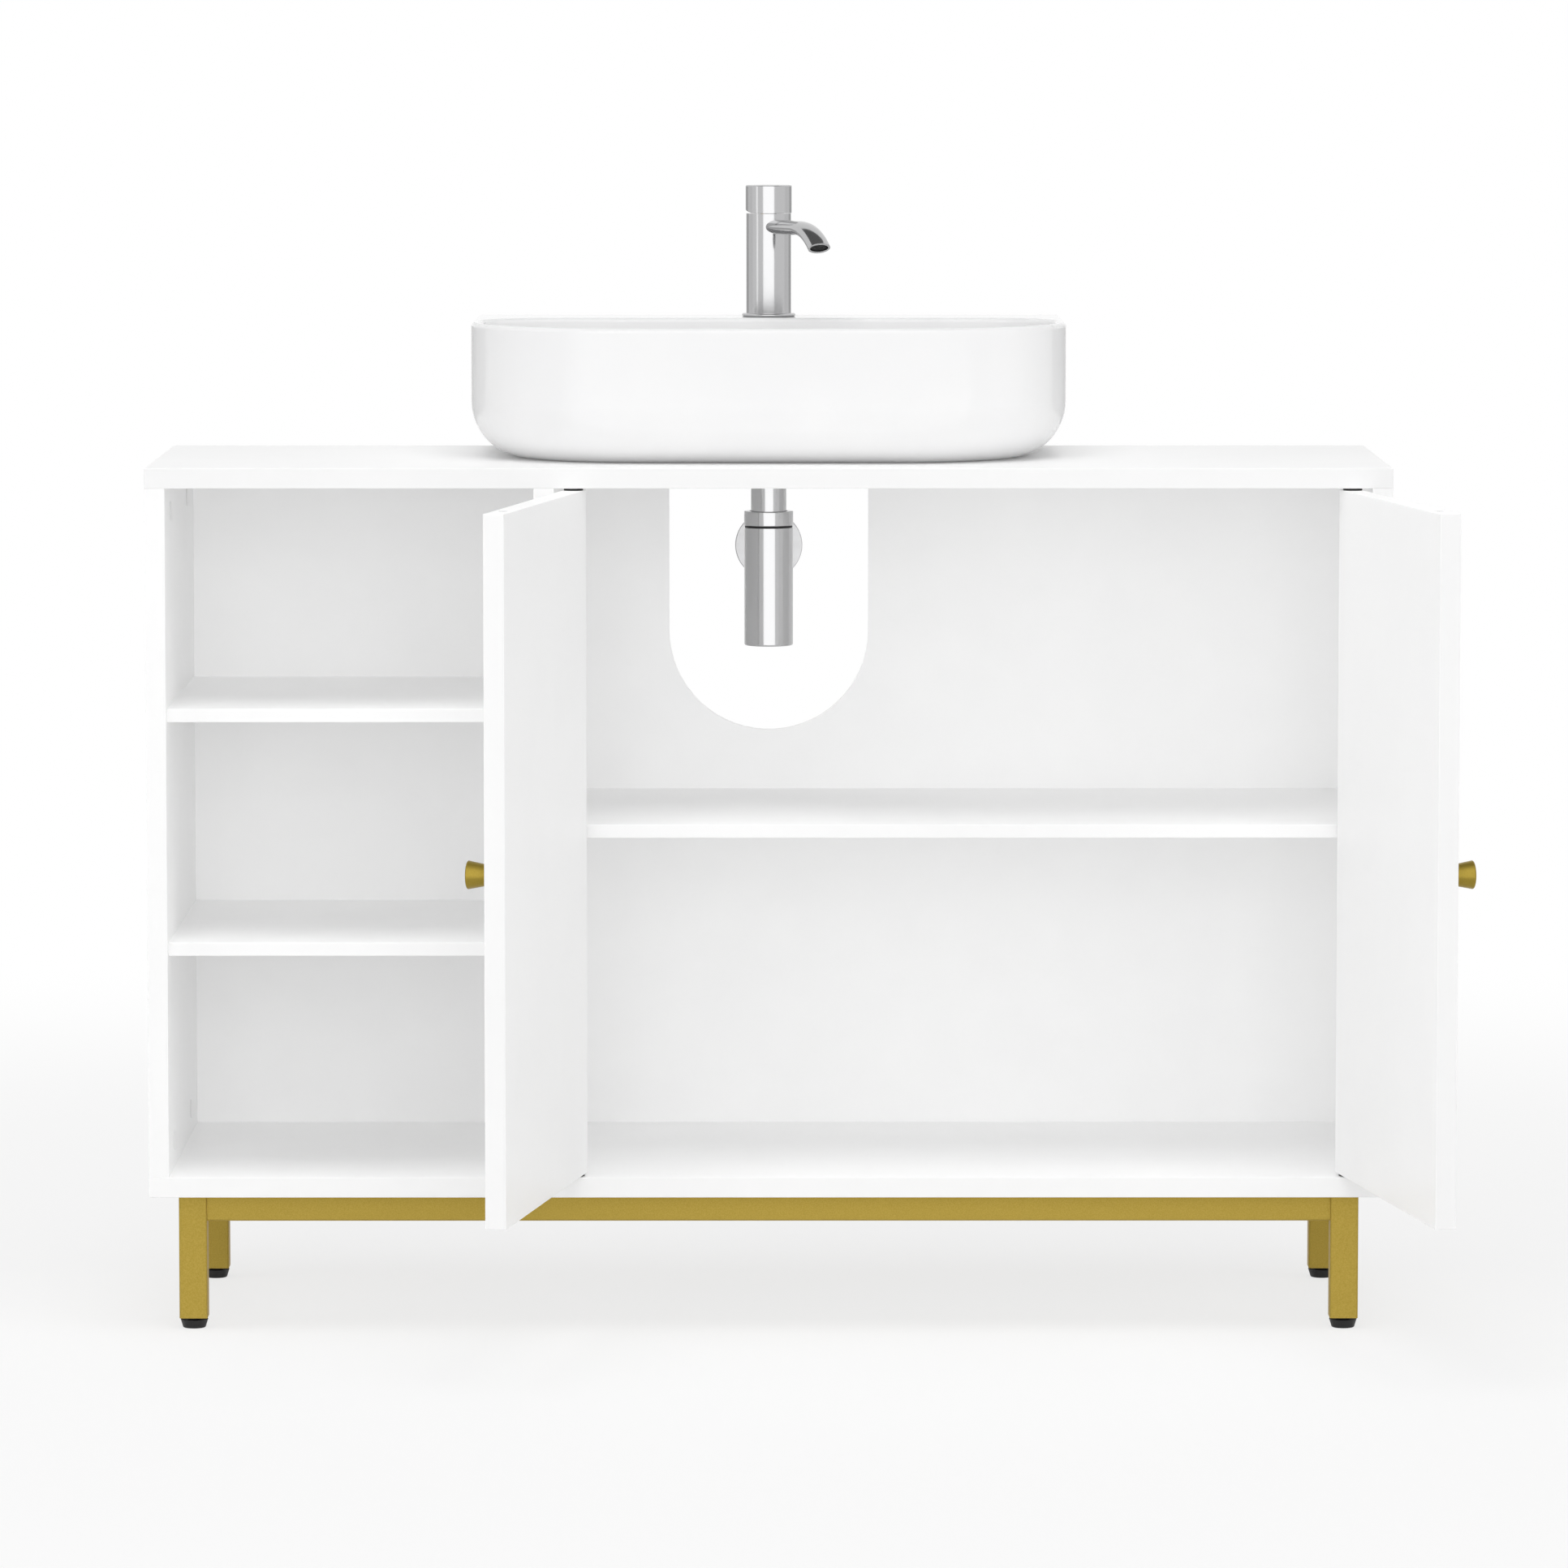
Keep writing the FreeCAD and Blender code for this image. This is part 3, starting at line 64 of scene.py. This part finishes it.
# The camera of the photograph: where it stands, how it is turned and its lens on a 36 mm sensor
CAMERA_AT = (0.003585, -7.52387, 1.18799)
CAMERA_DOWN, CAMERA_RIGHT = math.radians(5.427), math.radians(0.0783)
LENS_MM, SENSOR_MM = 191.57, 36


# Materials


def surface(name, colour, rough, metal=0.0, **sockets):
    """A material with its even values set on the shader's own sockets."""
    mat = bpy.data.materials.new(name)
    mat.use_nodes = True
    shader = mat.node_tree.nodes["Principled BSDF"]
    shader.inputs["Base Color"].default_value = (*colour, 1)
    shader.inputs["Roughness"].default_value = rough
    shader.inputs["Metallic"].default_value = metal
    for socket, value in sockets.items():
        shader.inputs[socket.replace("_", " ")].default_value = value
    mat.diffuse_color = (*colour, 1)
    return mat


def add_node(mat, kind, **values):
    """A node of the material's tree, with its sockets set by name."""
    node = mat.node_tree.nodes.new(kind)
    for socket, value in values.items():
        node.inputs[socket.replace("_", " ")].default_value = value
    return node


EVEN = (1, 1, 1)
# The middle range of a noise, which holds most of its values
NOISE_LOW, NOISE_HIGH = 0.3, 0.7


def noise(mat, size, detail=2.0, stretch=EVEN):
    """Noise whose spots are about size metres across, in the piece's own coordinates."""
    tree = mat.node_tree
    where = tree.nodes.new("ShaderNodeTexCoord")
    scaled = add_node(mat, "ShaderNodeMapping", Scale=stretch)
    spots = add_node(mat, "ShaderNodeTexNoise", Scale=1 / size, Detail=detail)
    tree.links.new(where.outputs["Object"], scaled.inputs["Vector"])
    tree.links.new(scaled.outputs["Vector"], spots.inputs["Vector"])
    return spots.outputs["Fac"]


def ranged(mat, value, low, high):
    """The noise's middle range spread from low to high."""
    spread = add_node(mat, "ShaderNodeMapRange", From_Min=NOISE_LOW, From_Max=NOISE_HIGH,
                      To_Min=low, To_Max=high)
    mat.node_tree.links.new(value, spread.inputs["Value"])
    return spread.outputs["Result"]


def vary_rough(mat, size, low, high, **more):
    """Roughness that wanders between two values."""
    shader = mat.node_tree.nodes["Principled BSDF"]
    mat.node_tree.links.new(ranged(mat, noise(mat, size, **more), low, high), shader.inputs["Roughness"])


def vary_colour(mat, size, first, second, **more):
    """Base colour that wanders between two colours."""
    tree = mat.node_tree
    mix = tree.nodes.new("ShaderNodeMix")
    mix.data_type = "RGBA"
    mix.inputs["A"].default_value = (*first, 1)
    mix.inputs["B"].default_value = (*second, 1)
    tree.links.new(ranged(mat, noise(mat, size, **more), 0, 1), mix.inputs["Factor"])
    tree.links.new(mix.outputs["Result"], tree.nodes["Principled BSDF"].inputs["Base Color"])


def relief(mat, *layers):
    """Bump from layers of noise, each (size of a spot, height, stretch)."""
    tree = mat.node_tree
    normal = None
    for size, height, stretch in layers:
        bump = add_node(mat, "ShaderNodeBump", Strength=1.0, Distance=height)
        tree.links.new(noise(mat, size, stretch=stretch), bump.inputs["Height"])
        if normal:
            tree.links.new(normal, bump.inputs["Normal"])
        normal = bump.outputs["Normal"]
    tree.links.new(normal, tree.nodes["Principled BSDF"].inputs["Normal"])


def white_board():
    mat = surface("white_board", (0.93, 0.93, 0.93), 0.4, Specular_IOR_Level=0.4)
    vary_colour(mat, 0.09, (0.923, 0.923, 0.923), (0.936, 0.936, 0.935))
    vary_rough(mat, 0.03, 0.36, 0.46)
    relief(mat, (0.0009, 6e-6, EVEN), (0.006, 1.2e-5, EVEN))
    return mat


def white_back():
    mat = surface("white_back", (0.925, 0.925, 0.925), 0.5, Specular_IOR_Level=0.35)
    vary_colour(mat, 0.06, (0.918, 0.918, 0.918), (0.932, 0.932, 0.931))
    relief(mat, (0.0012, 9e-6, EVEN), (0.015, 3e-5, EVEN))
    return mat


def gold_metal():
    mat = surface("gold_metal", (0.435, 0.312, 0.061), 0.45, metal=0.35, Specular_IOR_Level=0.3,
                  Specular_Tint=(0.6, 0.43, 0.12, 1))
    vary_colour(mat, 0.0011, (0.395, 0.283, 0.05), (0.475, 0.341, 0.072), detail=3)
    vary_rough(mat, 0.004, 0.38, 0.48)
    relief(mat, (0.0007, 1.2e-5, EVEN))
    return mat


# The knobs' copy of the legs' gold paint, glossier and with a darker colour: the darker colour is painted
# shade.
def gold_knob_painted_shade():
    mat = surface("gold_knob_painted_shade", (0.3, 0.215, 0.03), 0.33, metal=0.65, Specular_IOR_Level=0.3)
    vary_colour(mat, 0.0011, (0.28, 0.2, 0.026), (0.32, 0.23, 0.034), detail=3)
    vary_rough(mat, 0.004, 0.29, 0.37)
    relief(mat, (0.0007, 6e-6, EVEN))
    return mat


def black_plastic():
    mat = surface("black_plastic", (0.023, 0.023, 0.0238), 0.5, Specular_IOR_Level=0.25)
    vary_rough(mat, 0.004, 0.42, 0.55)
    relief(mat, (0.0006, 1.5e-5, EVEN))
    return mat


def plated_steel():
    mat = surface("plated_steel", (0.62, 0.62, 0.6), 0.3, metal=1.0)
    vary_colour(mat, 0.004, (0.6, 0.6, 0.57), (0.66, 0.65, 0.64))
    vary_rough(mat, 0.003, 0.24, 0.38)
    return mat


def zinc():
    mat = surface("zinc", (0.52, 0.53, 0.55), 0.45, metal=1.0)
    vary_rough(mat, 0.003, 0.38, 0.55)
    relief(mat, (0.0008, 2e-5, EVEN))
    return mat


def beech():
    mat = surface("beech", (0.52, 0.33, 0.17), 0.6)
    vary_colour(mat, 0.0009, (0.46, 0.28, 0.14), (0.58, 0.38, 0.2), stretch=(1, 1, 0.08))
    relief(mat, (0.0009, 4e-5, (1, 1, 0.08)))
    return mat


def magnet():
    mat = surface("magnet", (0.6, 0.6, 0.61), 0.25, metal=1.0)
    vary_rough(mat, 0.003, 0.2, 0.32)
    return mat


def white_ceramic():
    mat = surface("white_ceramic", (0.82, 0.82, 0.823), 0.07)
    vary_colour(mat, 0.08, (0.815, 0.815, 0.819), (0.828, 0.828, 0.829))
    vary_rough(mat, 0.05, 0.06, 0.09)
    relief(mat, (0.03, 4e-5, EVEN))
    return mat


def chrome():
    mat = surface("chrome", (0.5, 0.5, 0.505), 0.14, metal=1.0)
    vary_rough(mat, 0.012, 0.12, 0.16)
    return mat


# A rougher copy of the chrome for the wall rosette: its roughness is real and its darker colour is painted
# shade.
def satin_chrome_painted_shade():
    mat = surface("satin_chrome_painted_shade", (0.41, 0.41, 0.415), 0.2, metal=1.0)
    vary_rough(mat, 0.012, 0.17, 0.23)
    return mat


def brass():
    mat = surface("brass", (0.6, 0.42, 0.15), 0.3, metal=1.0)
    vary_rough(mat, 0.003, 0.24, 0.36)
    return mat


def grey_plastic():
    mat = surface("grey_plastic", (0.13, 0.13, 0.14), 0.5)
    vary_rough(mat, 0.004, 0.44, 0.58)
    return mat


MAKERS = [white_board, white_back, gold_metal, gold_knob_painted_shade, black_plastic, plated_steel, zinc, beech, magnet,
          white_ceramic, chrome, satin_chrome_painted_shade, brass, grey_plastic]
KNOBS = ("knob_left", "knob_right")
finishes = {make.__name__: make() for make in MAKERS}
# The knobs take the darker copy of the gold paint, whose darker colour is painted shade.
for part in frame["record"]["subparts"]:
    for held in nodes[part["node"]].material_slots:
        held.material = finishes["gold_knob_painted_shade" if part["node"] in KNOBS else part["material_slot"]]


# Pieces


def put(name, mesh, body, slot):
    """A new piece of the object: it rides on a body and takes the slot's finish."""
    obj = bpy.data.objects.new(name, mesh)
    bpy.context.scene.collection.objects.link(obj)
    mesh.materials.append(finishes[slot])
    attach(obj, body)
    return obj


def circle(mesh, radius, height, steps, place):
    """Corners on a circle round the local Z axis."""
    turn = [2 * math.pi * i / steps for i in range(steps)]
    points = [(radius * math.cos(a), radius * math.sin(a), height) for a in turn]
    return [mesh.verts.new(place @ Vector(point)) for point in points]


def lathe(mesh, profile, steps, place):
    """Adds a turned shape: profile is (radius, height) pairs round the local Z axis, and its end meets its
    start where neither is on the axis."""
    loops = []
    for radius, height in profile:
        if radius == 0:
            loops.append([mesh.verts.new(place @ Vector((0, 0, height)))])
        else:
            loops.append(circle(mesh, radius, height, steps, place))
    after = loops[1:] + ([loops[0]] if profile[0][0] and profile[-1][0] else [])
    for low, high in zip(loops, after):
        for i in range(steps):
            j = (i + 1) % steps
            face = [low[i % len(low)], low[j % len(low)], high[j % len(high)], high[i % len(high)]]
            mesh.faces.new(list(dict.fromkeys(face)))
    return loops


SHARP = math.radians(35)


def finished(mesh, name):
    """The built mesh, smooth but for its sharp edges."""
    bmesh.ops.recalc_face_normals(mesh, faces=mesh.faces)
    for face in mesh.faces:
        face.smooth = True
    for edge in mesh.edges:
        if edge.calc_face_angle(0) > SHARP:
            edge.smooth = False
    made = bpy.data.meshes.new(name)
    mesh.to_mesh(made)
    mesh.free()
    return made


def along(point, axis):
    """A local frame at the point with its Z axis along the given one."""
    return Matrix.Translation(point) @ Vector(axis).to_track_quat("Z", "Y").to_matrix().to_4x4()


def islands(name):
    """The low and high corners of the box round each separate solid of a node."""
    mesh = bmesh.new()
    mesh.from_mesh(nodes[name].data)
    bmesh.ops.remove_doubles(mesh, verts=mesh.verts, dist=WELD)
    left, boxes = set(mesh.verts), []
    while left:
        grown, found = set(), [left.pop()]
        while found:
            vert = found.pop()
            grown.add(vert)
            for link in vert.link_edges:
                other = link.other_vert(vert)
                if other in left:
                    left.remove(other)
                    found.append(other)
        boxes.append([Vector(pick(v.co[i] for v in grown) for i in range(3)) for pick in (min, max)])
    mesh.free()
    return sorted(boxes, key=lambda box: tuple(box[0]))


# The cover caps' rows in metres, the faces they sit on with the way each looks along X, and their turned
# profile in millimetres
CAP_ROWS_Y, CAP_ROWS_Z = (-0.115, 0.095), (0.164, 0.728)
CAP_FACES = ((-0.532, 1), (-0.207, -1), (0.532, -1))
CAP_STEPS = 48
CAP_PROFILE = [(0, 0), (8.3, 0), (8.6, 0.25), (8.5, 0.55), (8.0, 0.8), (6.6, 0.95), (6.2, 0.85), (0, 0.8)]


def cover_caps():
    """Thin plastic caps over the cam locks' pockets."""
    mesh = bmesh.new()
    profile = [(r * MM, h * MM) for r, h in CAP_PROFILE]
    for x, way in CAP_FACES:
        for y in CAP_ROWS_Y:
            for z in CAP_ROWS_Z:
                lathe(mesh, profile, CAP_STEPS, along((x, y, z), (way, 0, 0)))
    put("cam_cover_caps", finished(mesh, "cam_cover_caps"), "carcass", "white_board")


SCREW_STEPS = 36
# The cross recess as shares of the head's radius, and its floor's size against its mouth
CROSS_ARM, CROSS_HALF, CROSS_DEEP, CROSS_TAPER = 0.55, 0.14, 0.45, 0.62
# The heights where a screw's point widens, the thread's pitch, the bare stretch under the head and the
# head's rim, then the shank as a share of the head and the thread's root as a share of the shank
POINT_LOW, POINT_HIGH, PITCH, BARE_HIGH, RIM_HIGH = 1.5 * MM, 3.5 * MM, 1.4 * MM, 2 * MM, 0.25 * MM
SHANK_SHARE, ROOT_SHARE = 0.5, 0.8
# Where the thread's root starts and ends within one pitch
ROOT_FROM, ROOT_TO = 0.3 * PITCH, 0.7 * PITCH


def cross_head(mesh, head, height, place):
    """A flat screw head with a tapered cross recess, at the given height on the local Z axis."""
    rim = circle(mesh, head, height, SCREW_STEPS, place)
    arm, half, deep = CROSS_ARM * head, CROSS_HALF * head, CROSS_DEEP * head
    quarter = [(arm, -half), (arm, half), (half, half)]
    turns = ((1, 0), (0, 1), (-1, 0), (0, -1))
    corners = [(x * c - y * s, x * s + y * c) for c, s in turns for x, y in quarter]
    sunk = [(CROSS_TAPER * x, CROSS_TAPER * y, height - deep) for x, y in corners]
    upper = [mesh.verts.new(place @ Vector((x, y, height))) for x, y in corners]
    lower = [mesh.verts.new(place @ Vector(point)) for point in sunk]
    loops = [mesh.edges.new((loop[i - 1], loop[i])) for loop in (rim, upper) for i in range(len(loop))]
    bmesh.ops.triangle_fill(mesh, edges=loops, use_beauty=True, use_dissolve=False)
    for i in range(len(corners)):
        mesh.faces.new((upper[i - 1], upper[i], lower[i], lower[i - 1]))
    mesh.faces.new(lower)
    return rim


def screw_profile(head, long):
    """The turned part of a screw up to its head's rim: its point, thread and countersunk cone."""
    shank, rim_low = head * SHANK_SHARE, long - RIM_HIGH
    root, cone_low = shank * ROOT_SHARE, rim_low - (head - shank)
    profile = [(0, 0), (shank / 2, POINT_LOW), (shank, POINT_HIGH)]
    height = POINT_HIGH
    while height + PITCH < rim_low - BARE_HIGH:
        profile += [(root, height + ROOT_FROM), (root, height + ROOT_TO), (shank, height + PITCH)]
        height += PITCH
    return profile + [(root, cone_low), (head, rim_low)]


def back_screws():
    """Screws with cross recesses in place of the back panel's plain ones."""
    mesh = bmesh.new()
    for low, high in islands("back_screws"):
        long, head = high.y - low.y, (high.z - low.z) / 2
        place = along(((low.x + high.x) / 2, low.y, (low.z + high.z) / 2), (0, 1, 0))
        rim = cross_head(mesh, head, long, place)
        last = lathe(mesh, screw_profile(head, long), SCREW_STEPS, place)[-1]
        for i in range(SCREW_STEPS):
            mesh.faces.new((last[i - 1], last[i], rim[i], rim[i - 1]))
    bmesh.ops.remove_doubles(mesh, verts=mesh.verts, dist=WELD)
    name = "back_screws_threaded"
    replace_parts(put(name, finished(mesh, name), "carcass", "plated_steel"), "back_screws")


# Turned profiles in millimetres: black rings on the trap's upright axis that paint the shade of its joint
# gaps, and the rosette on the wall behind
RING_STEPS = 96
GAP_SHADE_TOP = [(16.02, 718.2), (19.0, 718.2), (19.0, 719.4), (17.3, 720.3), (16.6, 720.3), (16.02, 719.8)]
GAP_SHADE_LOW = [(20.55, 706.05), (21.3, 706.1), (21.5, 707.0), (21.3, 707.9), (20.55, 707.95)]
ROSETTE = [(16.02, 0), (31, 0), (31, 1.5), (30.85, 1.85), (30.5, 2.0), (29.9, 2.02), (21, 2.4),
           (20.2, 2.45), (19.2, 2.9), (18.6, 4.4), (18.2, 5.5), (17.4, 6), (16.02, 6)]
ROSETTE_AT = (0, 0.185, 0.678)


def rings(name, profiles, slot, place):
    """Closed turned rings on one axis, as one piece of the carcass."""
    mesh = bmesh.new()
    for profile in profiles:
        lathe(mesh, [(r * MM, h * MM) for r, h in profile], RING_STEPS, place)
    return put(name, finished(mesh, name), "carcass", slot)


# Black rings in the trap's joint gaps: painted shade standing in for the gaps' shadow.
def trap_gap_shade_rings():
    rings("trap_gap_shade_rings", [GAP_SHADE_TOP, GAP_SHADE_LOW], "black_plastic", along((0, 0, 0), (0, 0, 1)))


def wall_rosette():
    """The wall flange with a rounded edge and a collar round the pipe, in a rougher chrome whose darker
    colour is painted shade.
    """
    rosette = rings("wall_rosette", [ROSETTE], "chrome", along(ROSETTE_AT, (0, -1, 0)))
    rosette.data.materials[0] = finishes["satin_chrome_painted_shade"]
    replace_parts(rosette, "wall_flange")


cover_caps()
back_screws()
trap_gap_shade_rings()
wall_rosette()


# Studio


def rays_that_see_the_backdrop(tree):
    """1 for camera, glossy and transmission rays, and 0 for the rays that carry light."""
    path = tree.nodes.new("ShaderNodeLightPath")
    total = path.outputs["Is Camera Ray"]
    for kind in ("Is Glossy Ray", "Is Transmission Ray"):
        add = tree.nodes.new("ShaderNodeMath")
        add.use_clamp = True
        tree.links.new(total, add.inputs[0])
        tree.links.new(path.outputs[kind], add.inputs[1])
        total = add.outputs[0]
    return total


WHITE, AMBIENT = (1, 1, 1, 1), 0.325


def world():
    """A white backdrop that lights the object at a softer level."""
    made = bpy.data.worlds.new("studio")
    made.use_nodes = True
    tree = made.node_tree
    ambient = tree.nodes["Background"]
    ambient.inputs["Color"].default_value = WHITE
    ambient.inputs["Strength"].default_value = AMBIENT
    white = tree.nodes.new("ShaderNodeBackground")
    white.inputs["Color"].default_value = WHITE
    white.inputs["Strength"].default_value = 1
    mix = tree.nodes.new("ShaderNodeMixShader")
    tree.links.new(rays_that_see_the_backdrop(tree), mix.inputs[0])
    tree.links.new(ambient.outputs[0], mix.inputs[1])
    tree.links.new(white.outputs[0], mix.inputs[2])
    tree.links.new(mix.outputs[0], tree.nodes["World Output"].inputs["Surface"])
    bpy.context.scene.world = made


def flat_sheet(name, wide, high):
    """A rectangle of the stage in its own XY plane, and its material's tree without a shader."""
    mesh = bpy.data.meshes.new(name)
    corners = [(x * wide / 2, y * high / 2, 0) for x, y in ((-1, -1), (1, -1), (1, 1), (-1, 1))]
    mesh.from_pydata(corners, [], [(0, 1, 2, 3)])
    obj = bpy.data.objects.new(name, mesh)
    bpy.context.scene.collection.objects.link(obj)
    mat = bpy.data.materials.new(name)
    mat.use_nodes = True
    mat.node_tree.nodes.remove(mat.node_tree.nodes["Principled BSDF"])
    mesh.materials.append(mat)
    return obj, mat.node_tree


FLOOR_SIZE, FLOOR_PAINT = 80, (0.9, 0.9, 0.9, 1)
# How far from the middle the floor starts and ends to fade to white, and its share of white before that
FADE_FROM, FADE_TO, FADE_LOW = 0.9, 2.8, 0.72


def floor():
    """A white floor that keeps the shadow near the object and fades to the backdrop's white further out."""
    _, tree = flat_sheet("floor", FLOOR_SIZE, FLOOR_SIZE)
    paint = tree.nodes.new("ShaderNodeBsdfDiffuse")
    paint.inputs["Color"].default_value = FLOOR_PAINT
    white = tree.nodes.new("ShaderNodeEmission")
    white.inputs["Strength"].default_value = 1
    where = tree.nodes.new("ShaderNodeTexCoord")
    away = tree.nodes.new("ShaderNodeVectorMath")
    away.operation = "LENGTH"
    fade = tree.nodes.new("ShaderNodeMapRange")
    fade.interpolation_type = "SMOOTHSTEP"
    fade.inputs["From Min"].default_value = FADE_FROM
    fade.inputs["From Max"].default_value = FADE_TO
    fade.inputs["To Min"].default_value = FADE_LOW
    seen = tree.nodes.new("ShaderNodeMath")
    seen.operation = "MULTIPLY"
    mix = tree.nodes.new("ShaderNodeMixShader")
    tree.links.new(where.outputs["Object"], away.inputs[0])
    tree.links.new(away.outputs["Value"], fade.inputs["Value"])
    tree.links.new(fade.outputs["Result"], seen.inputs[0])
    tree.links.new(rays_that_see_the_backdrop(tree), seen.inputs[1])
    tree.links.new(seen.outputs[0], mix.inputs[0])
    tree.links.new(paint.outputs[0], mix.inputs[1])
    tree.links.new(white.outputs[0], mix.inputs[2])
    tree.links.new(mix.outputs[0], tree.nodes["Material Output"].inputs["Surface"])


CENTRE = Vector((0, 0, 0.55))


def towards(azimuth, elevation, distance, start=CENTRE):
    """A place seen from the start: azimuth 0 is the front and 90 the viewer's right."""
    a, e = math.radians(azimuth), math.radians(elevation)
    way = Vector((math.sin(a) * math.cos(e), -math.cos(a) * math.cos(e), math.sin(e)))
    return start + way * distance


def area_lamp(name, middle, facing, wide, high, radiance, lit=()):
    """A rectangular lamp that the camera doesn't see. It lights the lit pieces, or all of them."""
    data = bpy.data.lights.new(name, "AREA")
    data.shape = "RECTANGLE"
    data.size, data.size_y = wide, high
    data.energy = radiance * math.pi * wide * high
    obj = bpy.data.objects.new(name, data)
    obj.location = middle
    obj.rotation_euler = (Vector(facing) - Vector(middle)).to_track_quat("-Z", "Y").to_euler()
    obj.visible_camera = False
    if lit:
        obj.light_linking.receiver_collection = bpy.data.collections.new(f"lit_by_{name}")
        for piece in lit:
            obj.light_linking.receiver_collection.objects.link(piece)
    bpy.context.scene.collection.objects.link(obj)
    return obj


def lamp(name, azimuth, elevation, distance, wide, high, radiance):
    """A lamp that faces the object and doesn't show in reflections."""
    obj = area_lamp(name, towards(azimuth, elevation, distance), CENTRE, wide, high, radiance)
    obj.visible_glossy = False


FILL_SIZE = 2.0
INNER_BOARDS = """side_left side_right divider back_panel bottom_panel shelf_left_upper shelf_left_lower
                  shelf_right door_left door_right""".split()


def fill(name, azimuth, elevation, distance, radiance, lit):
    """A lamp that only brightens the named nodes, without a shadow or a reflection."""
    at = towards(azimuth, elevation, distance)
    obj = area_lamp(name, at, CENTRE, FILL_SIZE, FILL_SIZE, radiance, [nodes[node] for node in lit])
    obj.visible_glossy = obj.data.use_shadow = False


MIRRORS = [finishes[kind] for kind in ("chrome", "satin_chrome_painted_shade", "gold_metal", "gold_knob_painted_shade")]


def reflected_lamp(name, middle, wide, high, radiance, facing):
    """A lamp that only shows in the reflections of the chrome and gold, over the backdrop's white."""
    plated = [piece for piece in bpy.context.scene.objects
              if any(held.material in MIRRORS for held in piece.material_slots)]
    obj = area_lamp(name, middle, facing, wide, high, radiance, plated)
    obj.visible_diffuse = False


def panel(name, middle, wide, high, glow, facing):
    """A bright or dark panel that only shows in reflections."""
    obj, tree = flat_sheet(name, wide, high)
    emit = tree.nodes.new("ShaderNodeEmission")
    emit.inputs["Color"].default_value = WHITE
    emit.inputs["Strength"].default_value = glow
    tree.links.new(emit.outputs[0], tree.nodes["Material Output"].inputs["Surface"])
    obj.location = middle
    obj.rotation_euler = (Vector(facing) - Vector(middle)).to_track_quat("Z", "Y").to_euler()
    obj.visible_camera = obj.visible_diffuse = obj.visible_shadow = False


# Dim cards low at both sides and behind: their middle's height, distance, width and height
CARD_Z, CARD_FAR, CARD_WIDE, CARD_HIGH = 0.5, 3.0, 1.9, 1.0


def cards():
    middle = Vector((0, 0, CARD_Z))
    for side, way in (("left", -1), ("right", 1)):
        for name, azimuth, glow in (("side_card", 110, 0.88), ("rear_card", 145, 0.55)):
            at = towards(way * azimuth, 0, CARD_FAR, middle)
            panel(f"{name}_{side}", at, CARD_WIDE, CARD_HIGH, glow, middle)


def studio():
    """The backdrop, the floor, the lamps, and the lamps and panels that only show in reflections."""
    world()
    floor()
    lamp("front_lamp", 0, 16, 5.0, 5.3, 4.0, 0.7)
    lamp("low_lamp", 0, 6, 6.0, 3.0, 2.2, 1.9)
    lamp("top_lamp", 0, 70, 3.6, 3.0, 2.4, 2.85)
    lamp("left_lamp", -75, 15, 4.0, 2.4, 2.4, 1.4)
    lamp("right_lamp", 75, 15, 4.0, 2.4, 2.4, 1.0)
    lamp("back_lamp", 180, 12, 5.0, 4.0, 3.0, 1.3)
    fill("left_fill", -75, 25, 5.0, 3.9, INNER_BOARDS)
    fill("right_fill", 75, 25, 5.0, 2.9, INNER_BOARDS)
    fill("inner_fill", 0, 25, 5.0, 2.15, ["back_panel"])
    fill("worktop_fill", 0, 80, 4.0, 0.6, ["top_panel"])
    fill("basin_fill", 0, -20, 4.0, 2.3, ["basin"])
    fill("basin_left_fill", -75, 0, 4.0, 0.9, ["basin"])
    fill("basin_right_fill", 75, 0, 4.0, 1.4, ["basin"])
    reflected_lamp("softbox", (0, -1.75, 1.25), 2.0, 2.5, 0.95, (0, 0, 1.25))
    reflected_lamp("strip", (-1.0, -0.43, 1.1), 0.17, 1.0, 0.6, (0, 0.14, 1.1))
    cards()
    panel("flag", (0.1, 0.2, 3.2), 2.6, 2.4, 0.15, (0.1, 0.2, 0))


def camera():
    """The camera at the photograph's place and angle."""
    data = bpy.data.cameras.new("camera")
    data.sensor_width = SENSOR_MM
    data.lens = LENS_MM
    obj = bpy.data.objects.new("camera", data)
    obj.location = CAMERA_AT
    obj.rotation_euler = (math.pi / 2 - CAMERA_DOWN, 0, -CAMERA_RIGHT)
    bpy.context.scene.collection.objects.link(obj)
    bpy.context.scene.camera = obj


studio()
camera()
bpy.context.scene.view_settings.view_transform = "Standard"
